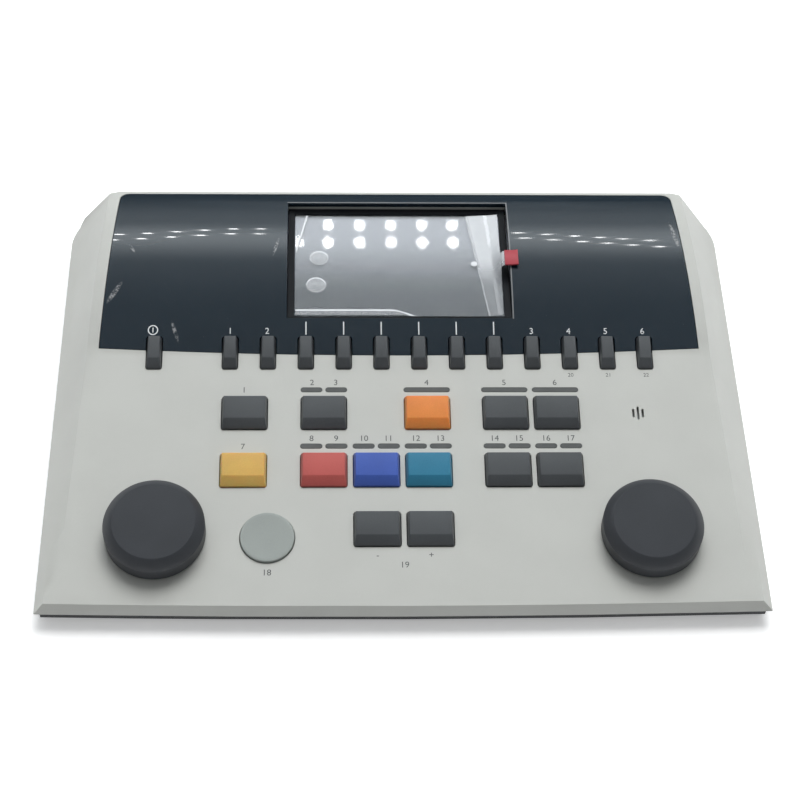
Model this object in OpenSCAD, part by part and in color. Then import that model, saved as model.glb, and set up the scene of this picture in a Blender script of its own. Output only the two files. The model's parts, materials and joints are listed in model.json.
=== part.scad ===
// Desktop audiometer: a low wedge-shaped console with a humped display panel
// at the back, a row of small keys, large coloured buttons, a round switch
// and two turning dials, with its sockets in a bay in the rear wall.
// +X is the user's right, +Y points away from the user, +Z is up. The origin
// is on the table, under the middle of the console. Sizes are millimetres.

/* [Case] */
// Width of the case along its bottom edge
case_w = 300; // [290:1:330]
// Depth of the case from the front lip to the foot of the rear wall
case_d = 212; // [211:0.5:218]
// Height of the upper shell's bottom edge above the table
rim_z = 8; // [8:0.5:12]
// Height of the slanted lip along the front and the sides
lip_h = 4; // [3.5:0.5:6]
// Setback of the front lip
lip_d = 2.6; // [2:0.2:4]
// Inward lean of the lip along the sides
lip_side = 4; // [2:0.5:6]
// Forward bulge of the bowed front edge
bow = 1.8; // [0.5:0.1:2.5]
// Width of the sloping cheek at the front
cheek_front = 13; // [11:0.5:15]
// Width of the sloping cheek at the back
cheek_rear = 24; // [20:1:26]
// Width of the soft shoulder between the crease and the cheek
shoulder = 4.5; // [2:0.5:6]
// Forward lean of the rear wall
rear_lean = 2.5; // [1:0.5:4]
// Radius of the two rear corners
rear_corner = 10; // [6:1:18]
// Thickness of the case walls and of the keypad panel
wall = 2.5; // [2:0.1:2.6]
// Thickness of the shell's seat on the base
rim_t = 5; // [4.5:0.5:7]

/* [Keypad] */
// Tilt of the keypad
pad_tilt = 7.8; // [7.6:0.1:9]
// Length of the keypad along its slope
pad_len = 118; // [117.5:0.1:119]
// Centres of the six button columns, from the middle
columns = [-66.8, -33.1, -11, 11, 44.4, 66.3];
// Distance of the first button row from the keypad's front edge
row_first = 34.4; // [33:0.2:37]
// Pitch of the three button rows
row_pitch = 27.5; // [26.5:0.1:28]
// Width of a large button
button_w = 19.3; // [17:0.1:19.6]
// Length of a large button
button_l = 15.4; // [13:0.2:17]
// Height of a large button above the keypad
button_h = 3.4; // [2.4:0.1:4.5]
// Travel of the keys, the buttons and the round switch
travel = 1; // [0.5:0.1:1]
// Pitch of the small keys
key_pitch = 16.35; // [15.6:0.05:16.6]
// Width of a small key
key_w = 6.5; // [5.5:0.1:7.5]
// Length of a small key
key_l = 15; // [12:0.5:15.5]
// Height of a small key above the keypad
key_h = 4.2; // [3.6:0.1:5]
// Distance of the key row's centre behind the end of the keypad
key_back = 1; // [0:0.1:1.5]
// Clearance between a cap and its opening, all round
cap_gap = 0.35; // [0.25:0.05:0.5]
// Thickness of the retaining flange under a cap
flange_t = 0.9; // [0.7:0.1:1]
// Reach of that flange beyond the cap
flange_out = 0.8; // [0.6:0.1:0.9]

/* [Round switch and dials] */
// Centre of the round switch across the keypad
round_u = -56.3; // [-58:0.1:-54]
// Distance of the round switch from the keypad's front edge
round_v = 30.6; // [29:0.2:34]
// Radius of the round switch
round_r = 11.2; // [9:0.1:12]
// Height of the round switch above the keypad
round_h = 1.2; // [1.1:0.1:2.5]
// Distance of each dial from the middle
dial_u = 102.2; // [101:0.2:106]
// Distance of the dials from the keypad's front edge
dial_v = 32.5; // [32:0.5:36]
// Radius of a dial
dial_r = 20.8; // [18:0.2:22]
// Height of a dial's top above the keypad
dial_h = 12; // [11:0.5:16]
// Gap under a dial
dial_gap = 0.8; // [0.5:0.1:1.2]
// Radius of the encoder shafts
shaft_r = 3; // [2.5:0.1:3.1]
// Radial running clearance of the encoder shafts
shaft_gap = 0.05; // [0.02:0.01:0.09]

/* [Display panel] */
// Height of the top of the rear wall
hump_end_z = 36; // [35:0.5:42]
// Bulge of the display panel above its chord
hump_sag = 6.5; // [5:0.5:8]
// Thickness of the dark display panel
fascia_t = 2.5; // [2:0.1:2.8]
// Thickness of the shell's tray under the display panel
tray_t = 2; // [1.6:0.1:2.2]
// Width of the light rim behind the display panel
fascia_rim = 1.7; // [1:0.1:3]
// Setback of the display panel's front edge at its two ends
fascia_bow = 3; // [1:0.5:4]
// Width of the display window
window_w = 98.5; // [90:0.5:100]
// Length of the display window along the panel
window_l = 64.7; // [60:0.1:66]
// Distance of the window from the start of the display panel
window_front = 17; // [16.5:0.1:18]
// Lean of the display back from the slope of the panel around it
display_lean = 3.2; // [0:0.2:3.4]
// Depth of the display frame in the window
frame_depth = 2; // [1:0.1:2.2]
// Thickness of the display frame
frame_t = 1.6; // [1.2:0.1:1.8]
// Width of the display frame's side and back bars
frame_bar = 3.1; // [2:0.1:4]
// Width of the display frame's front bar
frame_front = 1; // [0.8:0.1:3]
// Thickness of the display glass
glass_t = 1; // [0.8:0.1:1.1]
// Thickness of the display module
lcd_t = 3.5; // [3:0.1:3.8]

/* [Inside and rear] */
// Thickness of the circuit boards
board_t = 1.6; // [1.2:0.1:1.6]
// Height of the switches on the key board
switch_h = 3.5; // [3.2:0.1:3.5]
// Number of jack sockets in the rear bay
jacks = 9; // [4:1:9]
// Pitch of the jack sockets
jack_pitch = 18.5; // [17.5:0.1:18.8]
// Radius of the bore of a jack socket
jack_r = 3.2; // [3.2:0.05:3.3]
// Depth of the rear socket bay below the wall's outer foot
bay_depth = 5.2; // [4.8:0.1:5.8]
// Height of the rubber feet that shows under the base
foot_h = 2.5; // [2:0.5:3]
// Radius of the rubber feet
foot_r = 7; // [5:0.5:8]
// Inset of the base under the shell's edge
base_inset = 2; // [1:0.5:2.5]

/* [Hidden] */
$fn = 64;

// Colours
shell_grey = [0.75, 0.755, 0.735];
panel_black = [0.18, 0.20, 0.22];
cap_grey = [0.30, 0.31, 0.32];

// The width and depth for which the places on the case are given, and what another size does to them
drawn = [300, 212];
spread = (case_w - drawn[0]) / 2;
stretch = case_d / drawn[1];

// Places along the case
pad_z0 = rim_z + lip_h;
pad_y0 = -case_d / 2 + lip_d;
pad_run = pad_len * stretch;
hump_y0 = pad_y0 + pad_run * cos(pad_tilt);
hump_y1 = case_d / 2 - rear_lean;
hump_z0 = pad_z0 + pad_run * sin(pad_tilt);
// The hump is an arc from the end of the keypad to the top of the rear wall
hump_chord = norm([hump_y1 - hump_y0, hump_end_z - hump_z0]);
hump_slope = atan2(hump_end_z - hump_z0, hump_y1 - hump_y0);
hump_r = (pow(hump_chord / 2, 2) + pow(hump_sag, 2)) / (2 * hump_sag);
hump_cy = (hump_y0 + hump_y1) / 2 + (hump_r - hump_sag) * sin(hump_slope);
hump_cz = (hump_z0 + hump_end_z) / 2 - (hump_r - hump_sag) * cos(hump_slope);
hump_steps = 14;
// Places across the keypad
key_row = pad_run + key_back;
round_x = round_u - spread;
round_at = round_v * stretch;
dial_x = dial_u + spread;
dial_at = dial_v * stretch;
key_slots = [-6.5, -4.5, -3.5, -2.5, -1.5, -0.5, 0.5, 1.5, 2.5, 3.5, 4.5, 5.5, 6.5];
button_places = [
    [0, 2], [0, 1], [1, 2], [1, 1], [2, 1], [3, 1], [3, 2],
    [4, 2], [5, 2], [4, 1], [5, 1], [2, 0], [3, 0]];
// Indicators over the buttons: column, row, and whether the pair is one long bar
indicators = [
    [1, 2, false], [3, 2, true], [4, 2, true], [5, 2, true],
    [1, 1, false], [2, 1, false], [3, 1, false], [4, 1, false], [5, 1, false]];
bar_l = 9.3;
bar_w = 2.3;
bar_split = 0.65;
bar_behind = button_l / 2 + 4;
bar_proud = 0.15;
pipe_gap = 0.1;
led = [3, 1.6, 1];
led_gap = 0.2;
// Heights measured from the keypad surface
flange_gap = 0.3;
stop_gap = 0.3;
flange_top = -wall - flange_gap;
switch_top = flange_top - flange_t - travel - stop_gap;
board_depth = switch_h - switch_top;
stem_r = 1.5;
stem_in = 1.2;
// Shape of the switches
switch_w = 6;
switch_floor = 0.5;
stem_play = 0.3;
// Shape of the caps: lean of the sides, height of the front, drop of the ridge and of the rear edge
key_lean = 0.75;
key_front_h = 0.8;
key_ridge_drop = 0.7;
key_edge_drop = 2.8;
button_lean = 0.9;
button_front_h = 1;
button_ridge_drop = 0.1;
button_edge_drop = 2.6;
cap_corner = 1.1;
opening_corner = 1.3;
opening_top = 12;
// Shape of the dials and of what they sit on
dial_skin = 2.6;
dial_round = 3.9;
dial_band = 2;
round_from = 12;
skin_lean = 0.6;
hub_t = 3.4;
roof_dip = 0.2;
shaft_foot = 1;
encoder_floor = 0.7;
// Display plane: the chord of the hump across the window
window_run = window_l * stretch;
window_y0 = hump_y0 + window_front * stretch;
window_y1 = window_y0 + window_run;
window_tilt = atan2(hump_z(window_y1) - hump_z(window_y0), window_run) - display_lean;
seat_gap = 0.15;
frame_gap = 0.1;
lcd_lip = 3.5;
lcd_front = 1.5;
lcd_gap = 0.4;
lcd_back = 1;
lcd_drop = (window_run / 2 + lcd_front) * sin(display_lean) + lcd_gap;
lcd_top = -fascia_t - tray_t - lcd_drop;
frame_foot = -frame_depth - frame_t;
film_t = 0.2;
film_in = 0.6;
film_z = frame_foot + glass_t;
tongue_run = 12;
tongue_end = 3;
tab_l = 6;
tab_w = 8.6;
tab_t = 0.8;
tab_v = -2.4;
tab_in = 2.2;
tab_lift = 3.4;
// Inside
floor_z = foot_h + wall;
key_board_w = 236 + 2 * spread;
key_board_front = 25 * stretch;
key_board_back = 130 * stretch;
board_posts = [[-86, 104], [86, 104], [-84, 44], [84, 44], [-50, 75.6], [27.7, 75.6]];
main_board_w = 230;
main_board_l = 62 * stretch;
main_board_lift = 5;
main_board_z = floor_z + main_board_lift;
main_board_gap = 0.3;
post_r = 3;
screw_r = 1.25;
screw_play = 0.05;
hole_play = 0.15;
board_head_r = 2.2;
board_head_t = 1.4;
board_bite = 4.5;
main_bite = 4;
case_bite = 3.6;
post_in = 6;
case_post_x = 127 + spread;
case_posts = [
    [-case_post_x, 31], [case_post_x, 31], [-case_post_x, 100], [case_post_x, 100],
    [-122, 174], [122, 174]];
post_big_r = 4.5;
case_screw_r = 1.45;
head_r = 2.8;
head_t = 2;
head_sink = 3;
// Rear bay and its sockets
bay_y = case_d / 2 - bay_depth;
bay_top = 28;
bay_w = 236;
plate_lap = 1;
plate_y = bay_y - wall;
jack_body = [15, 28, 12];
socket_z = main_board_z + board_t + jack_body[2] / 2;
bush_r = 4.6;
bush_out = 3.1;
jack_floor = 2;
nut_r = 7;
nut_t = 2.3;
thread_gap = 0.02;
nose_h = 11;
nose_out = 0.5;
nose_gap = 0.15;
block_h = 11.5;
usb_block = [12, 14];
usb_hole = [8.4, 7.8];
inlet_block = [10, 12];
plug_depth = 10;
jack_x0 = -100;
usb_x = jack_x0 + jacks * jack_pitch + 6;
inlet_x = usb_x + 22;
inlet_r = 2.75;
encoder_size = 14;
bush_panel_r = shaft_r + 0.6;
encoder_bush = 2.6;
bush_gap = 0.4;
bush_slack = 0.1;
nut_small_r = 5.8;
nut_small_t = 2;
mic_u = 101.3;
mic_v = 89.5 * stretch;
mic_r = 4.85;
foot_x = 128 + spread;
foot_y = 91 * stretch;
foot_sink = 1;

// ---------- outline functions ----------

function pad_z(y) = pad_z0 + (y - pad_y0) * tan(pad_tilt);
function hump_z(y) = hump_cz + sqrt(pow(hump_r, 2) - pow(y - hump_cy, 2));
function top_z(y) = y <= hump_y0 ? pad_z(y) : hump_z(y);
// Half width at the crease between the top and the cheek
function crease(y) = case_w / 2 - cheek_front
    - (cheek_rear - cheek_front) * (y - pad_y0) / (hump_y1 - pad_y0);
function bowed(x) = bow * pow(2 * x / case_w, 2);
function hump_ys(y0, y1, n) = [for (i = [0:n]) y0 + (y1 - y0) * i / n];
function arc(cx, cy, r, a0, a1, n) =
    [for (i = [0:n]) [cx + r * cos(a0 + (a1 - a0) * i / n), cy + r * sin(a0 + (a1 - a0) * i / n)]];
function rounded_box(w, l, r, n = 4) = concat(
    arc(w / 2 - r, l / 2 - r, r, 0, 90, n), arc(r - w / 2, l / 2 - r, r, 90, 180, n),
    arc(r - w / 2, r - l / 2, r, 180, 270, n), arc(w / 2 - r, r - l / 2, r, 270, 360, n));
// Plan of the case, drawn in by a given distance
function case_plan(inset) = concat(
    [for (i = [-4:4]) let (x = (case_w / 2 - inset) * i / 4) [x, inset - case_d / 2 + bowed(x)]],
    arc(case_w / 2 - rear_corner, case_d / 2 - rear_corner, rear_corner - inset, 0, 90, 8),
    arc(rear_corner - case_w / 2, case_d / 2 - rear_corner, rear_corner - inset, 90, 180, 8));
// Plan of the dark display panel, grown by a given distance
fascia_y1 = hump_y1 - fascia_rim;
fascia_corner = 4;
fascia_start = 0.4;
fascia_edge = 0.6;
fascia_lap = 0.5;
function fascia_side(y) = crease(y) - fascia_edge;
// Setback of the panel's front edge at a place across it
function front_bow(x) = fascia_bow * pow(x / fascia_side(hump_y0), 2);
function fascia_plan(grow) = concat(
    [for (i = [-6:6]) let (x = (fascia_side(hump_y0) + grow) * i / 6)
        [x, hump_y0 + fascia_start - grow + fascia_bow * pow(i / 6, 2)]],
    arc(fascia_side(fascia_y1) - fascia_corner, fascia_y1 - fascia_corner,
        fascia_corner + grow, 0, 90, 4),
    arc(fascia_corner - fascia_side(fascia_y1), fascia_y1 - fascia_corner,
        fascia_corner + grow, 90, 180, 4));

// ---------- shared shapes ----------

// Carries its children to a place on the keypad, with Z along its normal
module on_pad(u, v, h = 0) {
    translate([0, pad_y0, pad_z0]) rotate([pad_tilt, 0, 0]) translate([u, v, h]) children();
}

// Carries its children to a button's place, or some way behind it
module on_button(place, behind = 0) {
    on_pad(columns[place[0]], (row_first + row_pitch * place[1]) * stretch + behind) children();
}

// Carries its children to the left dial (-1) or the right one (1)
module on_dial(side, h = 0) {
    on_pad(side * dial_x, dial_at, h) children();
}

// Carries its children to the middle of the display plane
module on_display(h = 0) {
    translate([0, (window_y0 + window_y1) / 2, (hump_z(window_y0) + hump_z(window_y1)) / 2])
        rotate([window_tilt, 0, 0]) translate([0, 0, h]) children();
}

// Extrudes a (Y, Z) outline along X, centred
module along_x(w) {
    rotate([90, 0, 90]) linear_extrude(w, center = true) children();
}

// Closed body between two grids of points, top over bottom
module loft(top, bottom) {
    rows = len(top);
    cols = len(top[0]);
    points = concat([for (row = top) each row], [for (row = bottom) each row]);
    under = rows * cols;
    faces = concat(
        [for (i = [0:rows - 2], j = [0:cols - 2]) let (a = i * cols + j, b = a + cols)
            each [[a, b, b + 1], [a, b + 1, a + 1]]],
        [for (i = [0:rows - 2], j = [0:cols - 2]) let (a = under + i * cols + j, b = a + cols)
            each [[a, b + 1, b], [a, a + 1, b + 1]]],
        [for (j = [0:cols - 2]) let (a = j, c = under + j)
            each [[c, a, a + 1], [c, a + 1, c + 1]]],
        [for (j = [0:cols - 2]) let (a = (rows - 1) * cols + j, c = under + a)
            each [[c, a + 1, a], [c, c + 1, a + 1]]],
        [for (i = [0:rows - 2]) let (a = i * cols, c = under + a)
            each [[c, c + cols, a + cols], [c, a + cols, a]]],
        [for (i = [0:rows - 2]) let (a = (i + 1) * cols - 1, c = under + a)
            each [[c, a + cols, c + cols], [c, a, a + cols]]]);
    polyhedron(points, faces, convexity = 8);
}

across = [for (i = [-4:4]) i / 4];

// Outer body of the upper shell
module case_body() {
    ys = concat([pad_y0],
        [for (f = [0.05, 0.1, 0.2, 0.3, 0.45, 0.6, 0.8]) pad_y0 + f * (hump_y0 - pad_y0)],
        hump_ys(hump_y0, hump_y1, hump_steps));
    last = len(ys) - 1;
    lip_x = case_w / 2 - lip_side;
    shoulder_fall = 0.05;
    function low(z) = pad_z0 + (z - pad_z0) * (1 - shoulder_fall);
    function side(s, y) = [[s * lip_x, y, pad_z0], [s * (crease(y) + shoulder), y, low(top_z(y))]];
    function shift(p, i) = i > 0 ? p : [p[0], p[1] + bowed(p[0]), p[2]];
    top = [for (i = [0:last]) let (y = ys[i], r = side(1, y), l = side(-1, y))
        [for (p = concat(l, [for (f = across) [f * crease(y), y, top_z(y)]], [r[1], r[0]]))
            shift(p, i)]];
    bottom = [for (i = [0:last]) [for (p = top[i]) let (x = p[0] * case_w / 2 / lip_x)
        [x, i == 0 ? -case_d / 2 + bowed(x) : i == last ? case_d / 2 : ys[i], rim_z]]];
    intersection() {
        loft(top, bottom);
        translate([0, 0, rim_z - 1]) linear_extrude(hump_end_z + 20) polygon(case_plan(0));
    }
}

// Hollow of the upper shell, open below
module case_hollow() {
    step = 1.5;
    roof_fall = 1.5;
    y0 = pad_y0 + rim_t + bow;
    key_y0 = hump_y0 + fascia_bow;
    ys = concat([y0, (y0 + key_y0) / 2, key_y0], hump_ys(key_y0 + 2 * step, plate_y, hump_steps));
    function roof(y) = y <= key_y0 ? pad_z(y) - wall : top_z(y) - fascia_t - tray_t;
    inner_x = case_w / 2 - rim_t;
    function side(s, y) = [
        [s * (inner_x - lip_side), y, pad_z0 - wall],
        [s * (crease(y) + shoulder - wall), y, max(pad_z0 - wall, roof(y) - roof_fall)]];
    top = [for (y = ys) let (r = side(1, y), l = side(-1, y))
        concat(l, [for (f = [-1, 0, 1]) [f * (crease(y) - wall), y, roof(y)]], [r[1], r[0]])];
    bottom = [for (row = top) [for (p = row)
        [p[0] * inner_x / (inner_x - lip_side), p[1], rim_z - 1]]];
    intersection() {
        loft(top, bottom);
        translate([0, 0, rim_z - 2]) linear_extrude(hump_end_z + 20) polygon(case_plan(rim_t));
    }
}

// Sheet that follows the hump, from its surface down
module hump_sheet(up, down) {
    ys = hump_ys(hump_y0, hump_y1, hump_steps);
    along_x(case_w) polygon(concat(
        [for (y = ys) [y, hump_z(y) + up]],
        [for (i = [len(ys) - 1:-1:0]) [ys[i], hump_z(ys[i]) - down]]));
}

module plan_prism(points) {
    translate([0, 0, rim_z]) linear_extrude(hump_end_z + 30) polygon(points);
}

// Cap with a flat rear facet, a sloping front facet and leaning sides
module cap(w, l, top_in, front_h, ridge, ridge_h, rear_h, edge_h) {
    intersection() {
        along_x(w + 1) polygon([
            [-l / 2, flange_top - flange_t / 2], [-l / 2, front_h], [ridge, ridge_h],
            [l / 2 - top_in, rear_h], [l / 2, edge_h], [l / 2, flange_top - flange_t / 2]]);
        rotate([90, 0, 0]) linear_extrude(l + 1, center = true) polygon([
            [-w / 2, flange_top - flange_t], [-w / 2, 0.2], [top_in - w / 2, rear_h + 0.1],
            [w / 2 - top_in, rear_h + 0.1], [w / 2, 0.2], [w / 2, flange_top - flange_t]]);
        translate([0, 0, -board_depth]) linear_extrude(board_depth + rear_h + 1)
            polygon(rounded_box(w, l, cap_corner));
    }
}

module flange(w, l) {
    translate([0, 0, flange_top - flange_t]) linear_extrude(flange_t)
        polygon(rounded_box(w + 2 * flange_out, l + 2 * flange_out, cap_corner));
}

module stem() {
    translate([0, 0, switch_top - stem_in])
        cylinder(r = stem_r, h = flange_top - switch_top + stem_in - flange_t / 2);
}

// ---------- keys, buttons and the round switch ----------

module panel_key(n) {
    color(cap_grey) on_pad(key_slots[n] * key_pitch, key_row) {
        cap(key_w, key_l, key_lean, key_front_h, -key_l / 4, key_h - key_ridge_drop, key_h,
            key_h - key_edge_drop);
        flange(key_w, key_l);
        stem();
    }
}

module panel_button(n) {
    on_button(button_places[n]) {
        cap(button_w, button_l, button_lean, button_front_h, -button_l / 4,
            button_h - button_ridge_drop, button_h, button_h - button_edge_drop);
        flange(button_w, button_l);
        stem();
    }
}

module key_power() panel_key(0);
module key_shift() panel_key(1);
module key_setup() panel_key(2);
module key_function_1() panel_key(3);
module key_function_2() panel_key(4);
module key_function_3() panel_key(5);
module key_function_4() panel_key(6);
module key_function_5() panel_key(7);
module key_function_6() panel_key(8);
module key_tests() panel_key(9);
module key_delete() panel_key(10);
module key_save() panel_key(11);
module key_print() panel_key(12);

module button_talk() color(cap_grey) panel_button(0);
module button_store() color([0.84, 0.72, 0.42]) panel_button(1);
module button_tone() color(cap_grey) panel_button(2);
module button_red() color([0.70, 0.38, 0.37]) panel_button(3);
module button_blue() color([0.30, 0.40, 0.68]) panel_button(4);
module button_teal() color([0.25, 0.49, 0.62]) panel_button(5);
module button_orange() color([0.86, 0.60, 0.36]) panel_button(6);
module button_mask() color(cap_grey) panel_button(7);
module button_sync() color(cap_grey) panel_button(8);
module button_manual() color(cap_grey) panel_button(9);
module button_single() color(cap_grey) panel_button(10);
module button_down() color(cap_grey) panel_button(11);
module button_up() color(cap_grey) panel_button(12);

module round_button() {
    color([0.60, 0.62, 0.60]) on_pad(round_x, round_at) {
        translate([0, 0, flange_top]) cylinder(r = round_r, h = round_h - flange_top);
        translate([0, 0, flange_top - flange_t]) cylinder(r = round_r + flange_out, h = flange_t);
        stem();
    }
}

// ---------- dials ----------

module dial_shape() {
    hub_z = encoder_bush;
    roof = dial_h - dial_skin;
    hub_r = shaft_r + hub_t;
    rotate_extrude($fn = 96) polygon(concat(
        [[shaft_r, hub_z], [hub_r, hub_z], [hub_r, roof], [dial_r - dial_skin - skin_lean, roof],
         [dial_r - dial_skin, dial_gap], [dial_r, dial_gap], [dial_r, dial_gap + dial_band]],
        arc(dial_r - dial_round, dial_h - dial_round, dial_round, round_from, 90, 6),
        [[0, dial_h], [0, roof + roof_dip], [shaft_r, roof + roof_dip]]));
}

module shaft_shape() {
    translate([0, 0, shaft_foot - board_depth])
        cylinder(r = shaft_r, h = board_depth - shaft_foot + dial_h - dial_skin + roof_dip);
}

module encoder_shape() {
    difference() {
        union() {
            translate([-encoder_size / 2, -encoder_size / 2, -board_depth])
                cube([encoder_size, encoder_size, board_depth - wall]);
            translate([0, 0, -wall]) cylinder(r = bush_panel_r, h = wall + encoder_bush - bush_gap);
        }
        translate([0, 0, encoder_floor - board_depth])
            cylinder(r = shaft_r + shaft_gap, h = board_depth + encoder_bush);
    }
}

module dial_left() color([0.28, 0.29, 0.31]) on_dial(-1) dial_shape();
module dial_right() color([0.28, 0.29, 0.31]) on_dial(1) dial_shape();
module dial_shaft_left() color([0.70, 0.70, 0.72]) on_dial(-1) shaft_shape();
module dial_shaft_right() color([0.70, 0.70, 0.72]) on_dial(1) shaft_shape();
module encoder_left() color([0.45, 0.45, 0.48]) on_dial(-1) encoder_shape();
module encoder_right() color([0.45, 0.45, 0.48]) on_dial(1) encoder_shape();

module encoder_nuts() {
    color([0.65, 0.62, 0.50]) for (s = [-1, 1]) on_dial(s) difference() {
        cylinder(r = nut_small_r, h = nut_small_t, $fn = 6);
        translate([0, 0, -1]) cylinder(r = bush_panel_r + thread_gap, h = nut_small_t + 2);
    }
}

// ---------- shells ----------

module cap_opening(w, l) {
    translate([0, 0, -board_depth]) linear_extrude(board_depth + opening_top)
        polygon(rounded_box(w + 2 * cap_gap, l + 2 * cap_gap, opening_corner));
}

// Openings of the small keys, wider under the display panel, where the flanges reach up
module key_openings() {
    wide = key_w + 2 * flange_out + 1;
    for (n = key_slots) {
        x = n * key_pitch;
        start = fascia_lap + front_bow(x);
        on_pad(x, key_row) cap_opening(key_w, key_l);
        on_pad(x - wide / 2, pad_run + start, -board_depth)
            cube([wide, key_back + key_l / 2 + flange_out + fascia_lap - start, board_depth + 2]);
    }
}

// One indicator bar, or two half bars side by side
module bars(long, grow, h0, h1) {
    w = bar_w + 2 * grow;
    spans = long ? [[0, 2 * bar_l + 2 * bar_split]]
        : [[-bar_l / 2 - bar_split, bar_l], [bar_l / 2 + bar_split, bar_l]];
    for (s = spans) translate([s[0], 0, h0]) linear_extrude(h1 - h0)
        polygon(rounded_box(s[1] + 2 * grow, w, w / 2 - 0.01));
}

module mic_slots() {
    for (s = [[-2, 4.3], [0, 6.4], [2, 4.3]])
        on_pad(mic_u + s[0], mic_v) translate([0, 0, -wall - 1])
            linear_extrude(wall + 2) polygon(rounded_box(1, s[1], 0.49));
}

module case_post_holes(z0, h, r) {
    for (p = case_posts) translate([p[0], p[1] * stretch - case_d / 2, z0]) cylinder(r = r, h = h);
}

module upper_shell() {
    tray = frame_gap + seat_gap;
    color(shell_grey) difference() {
        union() {
            difference() {
                case_body();
                case_hollow();
            }
            intersection() {
                case_body();
                union() {
                    case_post_holes(rim_z, 40, post_big_r);
                    for (p = board_posts) on_pad(p[0], p[1] * stretch, -board_depth)
                        cylinder(r = post_r, h = board_depth - wall / 2);
                }
            }
        }
        // seat of the display panel
        intersection() {
            hump_sheet(20, fascia_t);
            plan_prism(fascia_plan(seat_gap));
        }
        // display well
        on_display() translate([-window_w / 2 - tray, -window_run / 2 - tray, -20])
            cube([window_w + 2 * tray, window_run + 2 * tray, 30]);
        key_openings();
        for (p = button_places) on_button(p) cap_opening(button_w, button_l);
        on_pad(round_x, round_at, -board_depth) cylinder(r = round_r + cap_gap, h = 2 * board_depth);
        for (s = [-1, 1]) on_dial(s, -wall - 1) cylinder(r = bush_panel_r + bush_slack, h = wall + 2);
        for (p = indicators) on_button(p, bar_behind) bars(p[2], pipe_gap, -wall - 1, 1);
        mic_slots();
        for (p = board_posts) on_pad(p[0], p[1] * stretch, -board_depth - 1)
            cylinder(r = screw_r + screw_play, h = board_depth - wall + 1);
        case_post_holes(rim_z - 1, case_bite + 1.4, case_screw_r + screw_play);
        rear_bay();
    }
}

// Opening in the rear wall, open below, with the pocket that the connector plate sits in
module rear_bay() {
    translate([-bay_w / 2, plate_y, rim_z - 1])
        cube([bay_w, wall + bay_depth + 5, bay_top - rim_z + 1]);
    bay_pocket(0.1);
}

module bay_pocket(gap) {
    grow = plate_lap + gap;
    translate([-bay_w / 2 - grow, plate_y - gap, rim_z - gap])
        cube([bay_w + 2 * grow, wall + gap, bay_top - rim_z + plate_lap + 2 * gap]);
}

// Opening or nose of a rectangular socket, through the connector plate
module nose(x, w, gap, y1) {
    translate([x - w / 2 - gap, plate_y - gap, socket_z - nose_h / 2 - gap])
        cube([w + 2 * gap, y1 - plate_y + gap, nose_h + 2 * gap]);
}

// Rear part of a rectangular socket, standing on the main board
module socket_block(x, size) {
    translate([x - size[0] / 2, plate_y - size[1], main_board_z + board_t])
        cube([size[0], size[1], block_h]);
}

function jack_xs() = [for (i = [0:jacks - 1]) jack_x0 + i * jack_pitch];

module base_shell() {
    color([0.20, 0.21, 0.22]) difference() {
        union() {
            difference() {
                translate([0, 0, foot_h]) linear_extrude(rim_z - foot_h)
                    polygon(case_plan(base_inset));
                translate([0, 0, floor_z]) linear_extrude(rim_z)
                    polygon(case_plan(rim_t));
            }
            case_post_holes(floor_z - 1, rim_z - floor_z + 1, post_big_r);
            for (p = main_posts()) translate([p[0], p[1], floor_z - 1])
                cylinder(r = post_r, h = main_board_z - floor_z + 1);
        }
        case_post_holes(foot_h - 1, rim_z, case_screw_r + hole_play);
        case_post_holes(foot_h - 1, head_sink + 1, head_r + 2 * hole_play);
        for (p = main_posts()) translate([p[0], p[1], floor_z])
            cylinder(r = screw_r + screw_play, h = main_board_z);
        for (x = [-1, 1], y = [-1, 1]) translate([x * foot_x, y * foot_y, foot_h - 1])
            cylinder(r = foot_r + screw_play, h = foot_sink + 1);
    }
}

// ---------- display ----------

module display_fascia() {
    color(panel_black) difference() {
        intersection() {
            hump_sheet(0, fascia_t);
            plan_prism(fascia_plan(0));
        }
        on_display() translate([-window_w / 2, -window_run / 2, -10]) cube([window_w, window_run, 20]);
        for (n = key_slots) on_pad(n * key_pitch, key_row) cap_opening(key_w, key_l);
    }
}

module frame_plate(grow, h0, h1) {
    translate([-window_w / 2 - grow, -window_run / 2 - grow, h0])
        cube([window_w + 2 * grow, window_run + 2 * grow, h1 - h0]);
}

module display_frame() {
    color([0.10, 0.10, 0.11]) on_display() difference() {
        frame_plate(-frame_gap, frame_foot, -frame_depth);
        screen_plate(0, frame_foot - 1, 1);
    }
}

// Plate in the opening of the display frame, drawn in by a given distance
module screen_plate(inset, h0, h1) {
    w = window_w - 2 * (frame_bar + inset);
    v0 = frame_front - window_run / 2 + inset;
    v1 = window_run / 2 - frame_bar - inset;
    translate([-w / 2, v0, h0]) cube([w, v1 - v0, h1 - h0]);
}

module display_glass() {
    color([0.75, 0.80, 0.82]) on_display()
        screen_plate(frame_gap, frame_foot, frame_foot + glass_t);
}

module lcd_module() {
    color([0.55, 0.58, 0.60]) on_display() {
        frame_plate(-frame_gap, lcd_top - lcd_t, frame_foot);
        translate([-window_w / 2 - lcd_lip, -window_run / 2 - lcd_front, lcd_top - lcd_t])
            cube([window_w + 2 * lcd_lip, window_run + lcd_front + lcd_back, lcd_t]);
    }
}

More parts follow.
